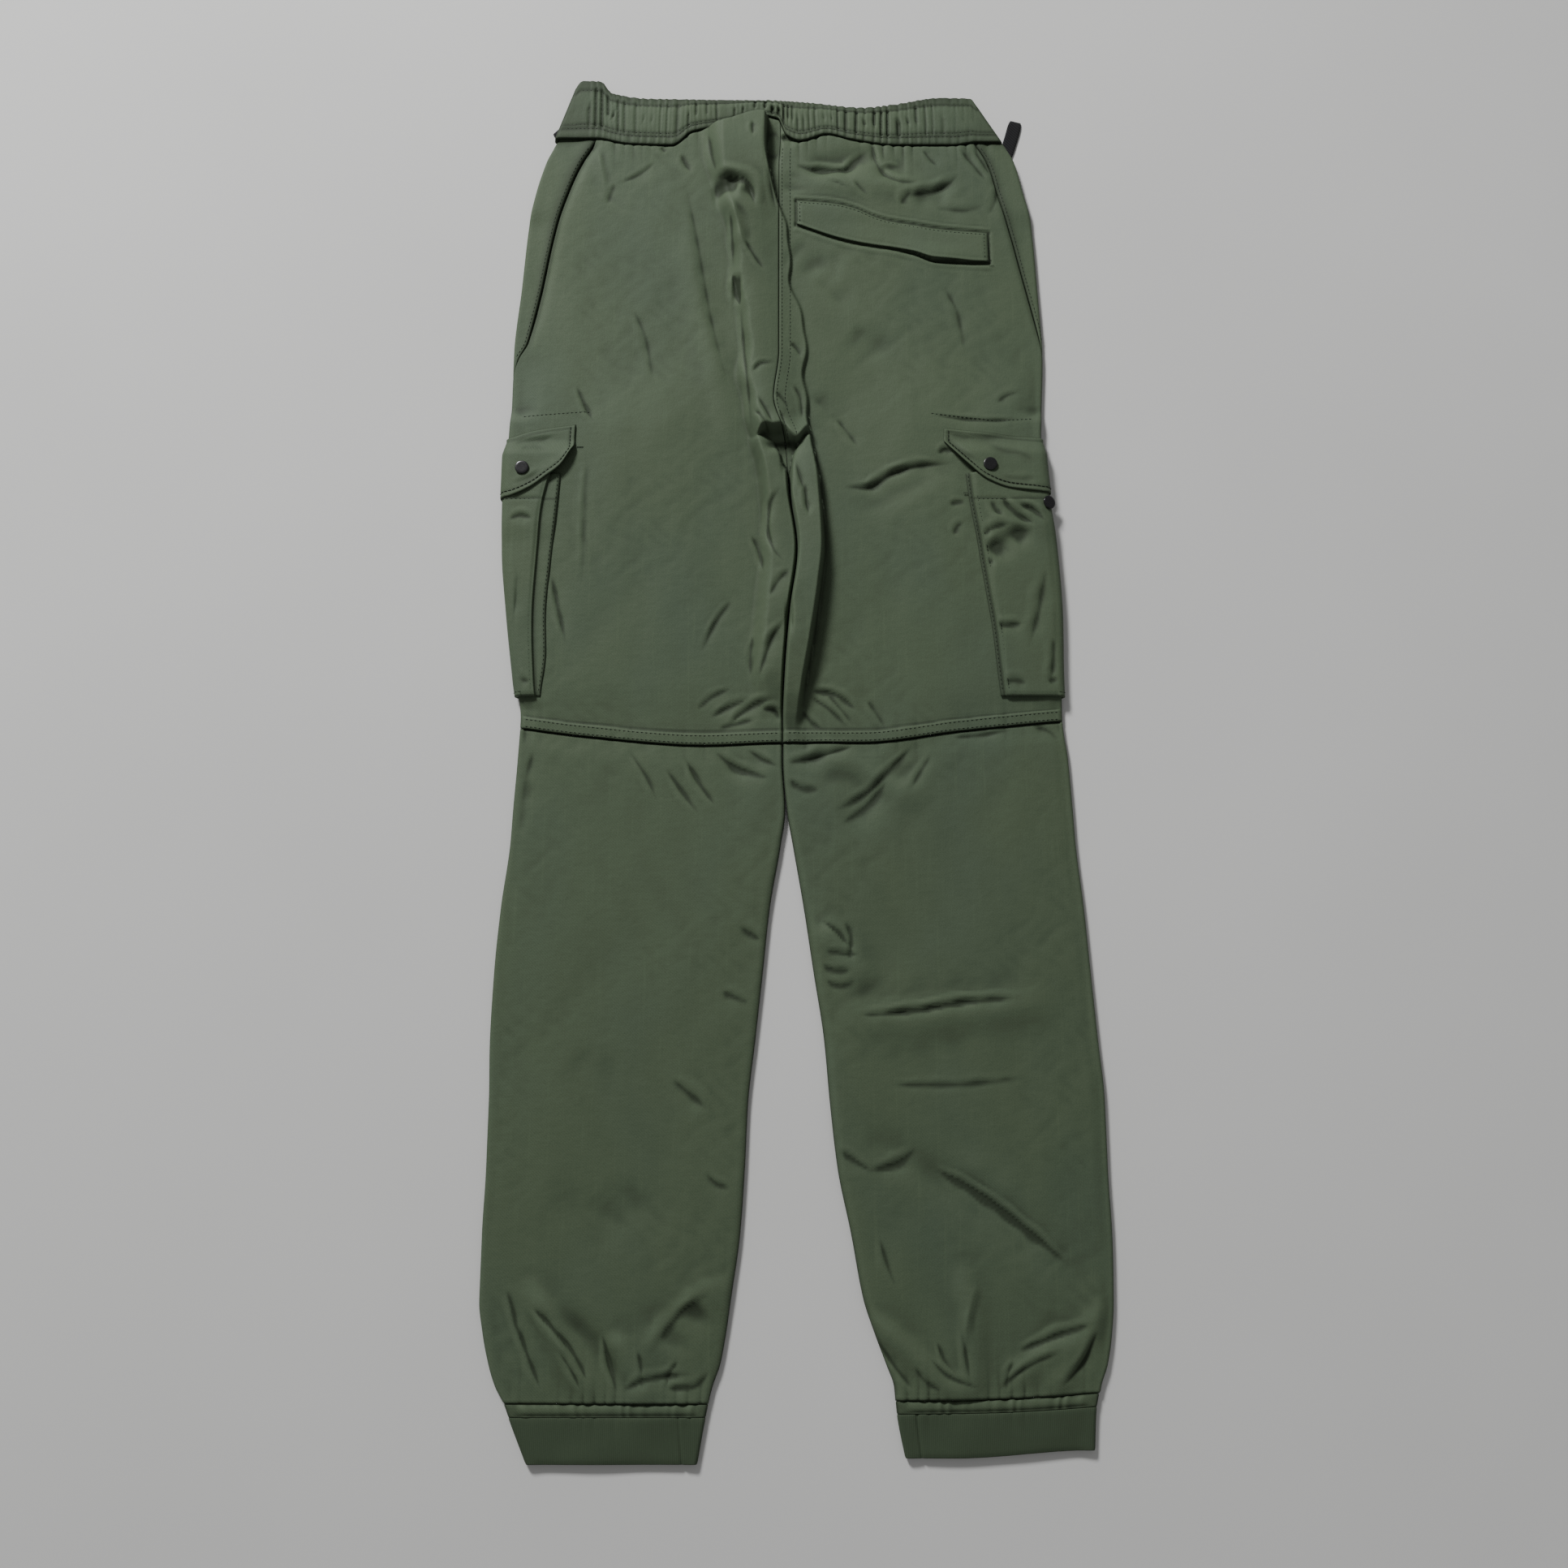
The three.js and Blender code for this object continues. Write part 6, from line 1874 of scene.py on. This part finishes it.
def dress(piece, kind, nodes=()):
    """Gives a finished piece its material, its body, and the nodes that it stands for."""
    piece.data.materials.clear()
    piece.data.materials.append(finish_for(kind))
    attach(piece, "root")
    if nodes:
        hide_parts(*nodes)
    return piece


def side_label(side):
    return "left" if side == LEFT else "right"


class TrouserSizes(bpy.types.PropertyGroup):
    """Sizes that a user may change before the pieces are made."""

    cloth_wall: FloatProperty(
        name="Cloth wall", description="Thickness of the panels' cloth, in millimetres",
        default=SHELL, min=0.5, max=1.1,
    )
    stitch_pitch: FloatProperty(
        name="Stitch pitch", description="From one stitch to the next, in millimetres",
        default=3.3, min=2.6, max=5.0,
    )
    camera_height: FloatProperty(
        name="Camera height", description="How high the camera stands over the floor",
        default=1.125, min=0.5, unit="LENGTH",
    )
    camera_tilt: FloatProperty(
        name="Camera tilt", description="How far the camera leans from straight down",
        default=math.radians(12.81), subtype="ANGLE",
    )


class TrouserColours(bpy.types.PropertyGroup):
    """Colours of the cloth and thread."""

    cloth: FloatVectorProperty(
        name="Cloth", description="Colour of the satin twill", subtype="COLOR",
        default=(0.070, 0.096, 0.057), min=0, max=1,
    )
    # Lighter colour for rubbed seams and folds, also used as a painted highlight on the ridges of
    # folds.
    worn_and_highlit: FloatVectorProperty(
        name="Worn cloth", description="Colour of rubbed seams and folds", subtype="COLOR",
        default=(0.108, 0.143, 0.090), min=0, max=1,
    )
    cuff: FloatVectorProperty(
        name="Cuffs", description="Colour of the cuffs' stretch cloth", subtype="COLOR",
        default=(0.049, 0.069, 0.041), min=0, max=1,
    )
    thread: FloatVectorProperty(
        name="Thread", description="Colour of the sewing thread", subtype="COLOR",
        default=(0.010, 0.015, 0.009), min=0, max=1,
    )


class TROUSERS_OT_stage(bpy.types.Operator):
    """Makes the camera, the lights and the pale floor"""

    bl_idname = "trousers.stage"
    bl_label = "Stage"

    def execute(self, context):
        sizes = context.scene.trouser_sizes
        camera = bpy.data.cameras.new("photo_camera")
        camera.sensor_width = FILM_WIDTH
        camera.lens = LENS
        stand = bpy.data.objects.new("photo_camera", camera)
        stand.location = (
            (CAMERA_X - MIDDLE_X) / 1000, (CAMERA_Y - MIDDLE_Y) / 1000, sizes.camera_height,
        )
        stand.rotation_euler = (sizes.camera_tilt, 0, 0)
        context.scene.collection.objects.link(stand)
        context.scene.camera = stand
        for name, (place, target, size, power) in LIGHTS.items():
            light = bpy.data.lights.new(name, "AREA")
            light.size = size
            light.energy = power
            lamp = bpy.data.objects.new(name, light)
            lamp.location = place
            aim = Vector(target) - Vector(place)
            lamp.rotation_euler = aim.to_track_quat("-Z", "Y").to_euler()
            context.scene.collection.objects.link(lamp)
        world = bpy.data.worlds.new("soft_light")
        world.use_nodes = True
        sky = world.node_tree.nodes["Background"]
        sky.inputs["Color"].default_value = (1.0, 1.0, 1.0, 1)
        sky.inputs["Strength"].default_value = SKY_STRENGTH
        context.scene.world = world
        fresh()
        bpy.ops.mesh.primitive_plane_add(size=FLOOR_SIZE, location=(0, 0, -FLOOR_DROP))
        floor = context.object
        floor.name = "floor"
        bpy.ops.object.transform_apply(location=True, rotation=True, scale=True)
        floor.data.materials.append(finish_for("floor"))
        return {"FINISHED"}


class TROUSERS_OT_drawstring(bpy.types.Operator):
    """Makes the drawstring's two free ends"""

    bl_idname = "trousers.drawstring"
    bl_label = "Drawstring"

    def execute(self, context):
        for name in TAPE_ROUTES:
            piece, path, length = make_tape(name)
            dress(piece, "tape", (name,))
        return {"FINISHED"}


class TROUSERS_OT_legs(bpy.types.Operator):
    """Makes the eight leg panels, back and front"""

    bl_idname = "trousers.legs"
    bl_label = "Leg panels"

    def execute(self, context):
        wall = context.scene.trouser_sizes.cloth_wall
        for (part, side), points in panel_grids().items():
            node = part + "_" + side_label(side)
            # Painted shade along the seams, then painted shade in the creases' troughs and a
            # rubbed, painted highlight on their ridges, from the fine form without its tall folds.
            wear_and_painted_light = -0.9 * painted_seam_shade(points.shape[:2])
            sign = outward_sign(points, part)
            if part.startswith("back"):
                broad = 0.8 * folds_rise(side, points[..., 0], points[..., 1])
                wear_and_painted_light = clamp(wear_and_painted_light + clamp(bank(points[..., 2] - broad), -1, 0.5), -1, 1)
            piece = thin_shell(node + "_cloth", points, wall, sign, wear_and_painted_light)
            dress(piece, "cloth", (node,))
            rests = "floor" if part.startswith("front") else "front_" + node[5:] + "_cloth"
        return {"FINISHED"}


def outward_sign(points, part):
    """Which way round a panel's points run, so that its wall goes inwards."""
    facing = grid_normals(points)[len(points) // 2, :, 2]
    if part.startswith("back"):
        return 1 if facing[len(facing) // 2] > 0 else -1
    return 1 if facing[:len(facing) // 3].mean() < 0 else -1


class TROUSERS_OT_waistband(bpy.types.Operator):
    """Makes the gathered waistband"""

    bl_idname = "trousers.waistband"
    bl_label = "Waistband"

    def execute(self, context):
        piece = dress(make_waistband(), "cloth", ("waistband",))
        return {"FINISHED"}


class TROUSERS_OT_cuffs(bpy.types.Operator):
    """Makes the leg hems and the cuffs"""

    bl_idname = "trousers.cuffs"
    bl_label = "Hems and cuffs"

    def execute(self, context):
        for side in (LEFT, RIGHT):
            label = side_label(side)
            hem = dress(make_hem(side, label), "cloth", ("leg_hem_" + label,))
            cuff = dress(make_cuff(side, label), "cuff_cloth", ("cuff_" + label,))
        return {"FINISHED"}


class TROUSERS_OT_pockets(bpy.types.Operator):
    """Makes the cargo pockets, their flaps and the back pocket's welt"""

    bl_idname = "trousers.pockets"
    bl_label = "Pockets"

    def execute(self, context):
        for side in (LEFT, RIGHT):
            label = side_label(side)
            pocket = make_pocket(side, label)
            dress(pocket, "cloth", ("cargo_pocket_" + label,))
            "back_upper_" + label + "_cloth"
            flap = dress(make_flap(side, label), "cloth", ("cargo_flap_" + label,))
        welt = dress(make_welt(), "cloth", ("back_pocket_welt",))
        return {"FINISHED"}


class TROUSERS_OT_snaps(bpy.types.Operator):
    """Makes the three snap caps"""

    bl_idname = "trousers.snaps"
    bl_label = "Snaps"

    def execute(self, context):
        for name, side, at, y, on_flap in SNAPS:
            dress(make_snap(name, side, at, y, on_flap), "snap_metal", (name,))
        return {"FINISHED"}


class TROUSERS_OT_stitching(bpy.types.Operator):
    """Sews the seams: every row of stitches, and the bar tacks"""

    bl_idname = "trousers.stitching"
    bl_label = "Stitching"

    def execute(self, context):
        pitch = context.scene.trouser_sizes.stitch_pitch
        rows = {
            "stitches_waistband": [band_path(valley[0]) for valley in STITCH_VALLEYS],
            "stitches_centre_seam": [
                seam_inset_path(LEFT, inset, SEAM_STITCH_TOP, CROTCH_Y + 6)
                for inset in CENTRE_STITCH_INSETS
            ],
            "stitches_side_seams": [
                side_path(side, SIDE_STITCH_INSET, SEAM_STITCH_TOP, low)
                for side, low in ((LEFT, 286), (RIGHT, 300))
            ],
            "stitches_knees": [
                knee_path(side, above) for side in (LEFT, RIGHT) for above in KNEE_STITCH_HEIGHTS
            ],
            "stitches_welt": [welt_path(WELT_STITCH_INSET)],
            "stitches_over_flaps": [
                on_leg(LEFT, route([(-206, 236), (-155, 240)])),
                on_leg(RIGHT, route([(108, 238), (158, 232), (186, 234)])),
            ],
        }
        tacks = bartack_path(LEFT, -161, 210, 5) + bartack_path(RIGHT, 134, 172, 5, 1.2)
        tacks += bartack_path(RIGHT, 157, 369, 4, 3.0)
        for side in (LEFT, RIGHT):
            label = side_label(side)
            pocket = POCKETS[side]
            y = np.arange(186.0, 14.0, -1.0)
            at, face = pocket["seam"].at("at", y), pocket["seam"].at("face", y)
            foot = np.arange(pocket["seam"].at("face", 20.0) - 4, -6, -1.0)
            hem = np.arange(pocket["seam"].at("face", 165.0) - 3, -20, -1.0)
            rows["stitches_pocket_" + label] = [
                pocket_path(side, y, at - 1.6), pocket_path(side, y, face - 3.4),
                pocket_path(side, pocket["bottom"] + 3.0, foot),
                pocket_path(side, pocket["mouth"] - POCKET_HEM - 0.5, hem),
            ]
            rows["stitches_flap_" + label] = [flap_path(side, FLAP_STITCH_INSET)]
        for name, paths in rows.items():
            dress(stitches(name, paths, pitch), "thread")
        dress(stitches("bar_tacks", tacks, TACK_PITCH, TACK_SIZE), "thread")
        return {"FINISHED"}


class TROUSERS_PT_panel(bpy.types.Panel):
    """Lists the trousers' pieces, sizes and colours"""

    bl_idname = "TROUSERS_PT_panel"
    bl_label = "Cargo trousers"
    bl_space_type = "VIEW_3D"
    bl_region_type = "UI"
    bl_category = "Trousers"

    def draw(self, context):
        layout = self.layout
        for operator in OPERATORS:
            layout.operator(operator.bl_idname)
        for group in (context.scene.trouser_sizes, context.scene.trouser_colours):
            for name in type(group).__annotations__:
                layout.prop(group, name)


OPERATORS = (
    TROUSERS_OT_stage, TROUSERS_OT_drawstring, TROUSERS_OT_legs, TROUSERS_OT_waistband,
    TROUSERS_OT_cuffs, TROUSERS_OT_pockets, TROUSERS_OT_snaps, TROUSERS_OT_stitching,
)
CLASSES = (TrouserSizes, TrouserColours, TROUSERS_PT_panel) + OPERATORS


def register():
    for item in CLASSES:
        bpy.utils.register_class(item)
    bpy.types.Scene.trouser_sizes = PointerProperty(type=TrouserSizes)
    bpy.types.Scene.trouser_colours = PointerProperty(type=TrouserColours)


def unregister():
    del bpy.types.Scene.trouser_colours
    del bpy.types.Scene.trouser_sizes
    for item in reversed(CLASSES):
        bpy.utils.unregister_class(item)


def main():
    register()
    bpy.ops.trousers.stage()
    bpy.ops.trousers.drawstring()
    bpy.ops.trousers.legs()
    bpy.ops.trousers.waistband()
    bpy.ops.trousers.cuffs()
    bpy.ops.trousers.pockets()
    bpy.ops.trousers.snaps()
    bpy.ops.trousers.stitching()


if __name__ == "__main__":
    main()
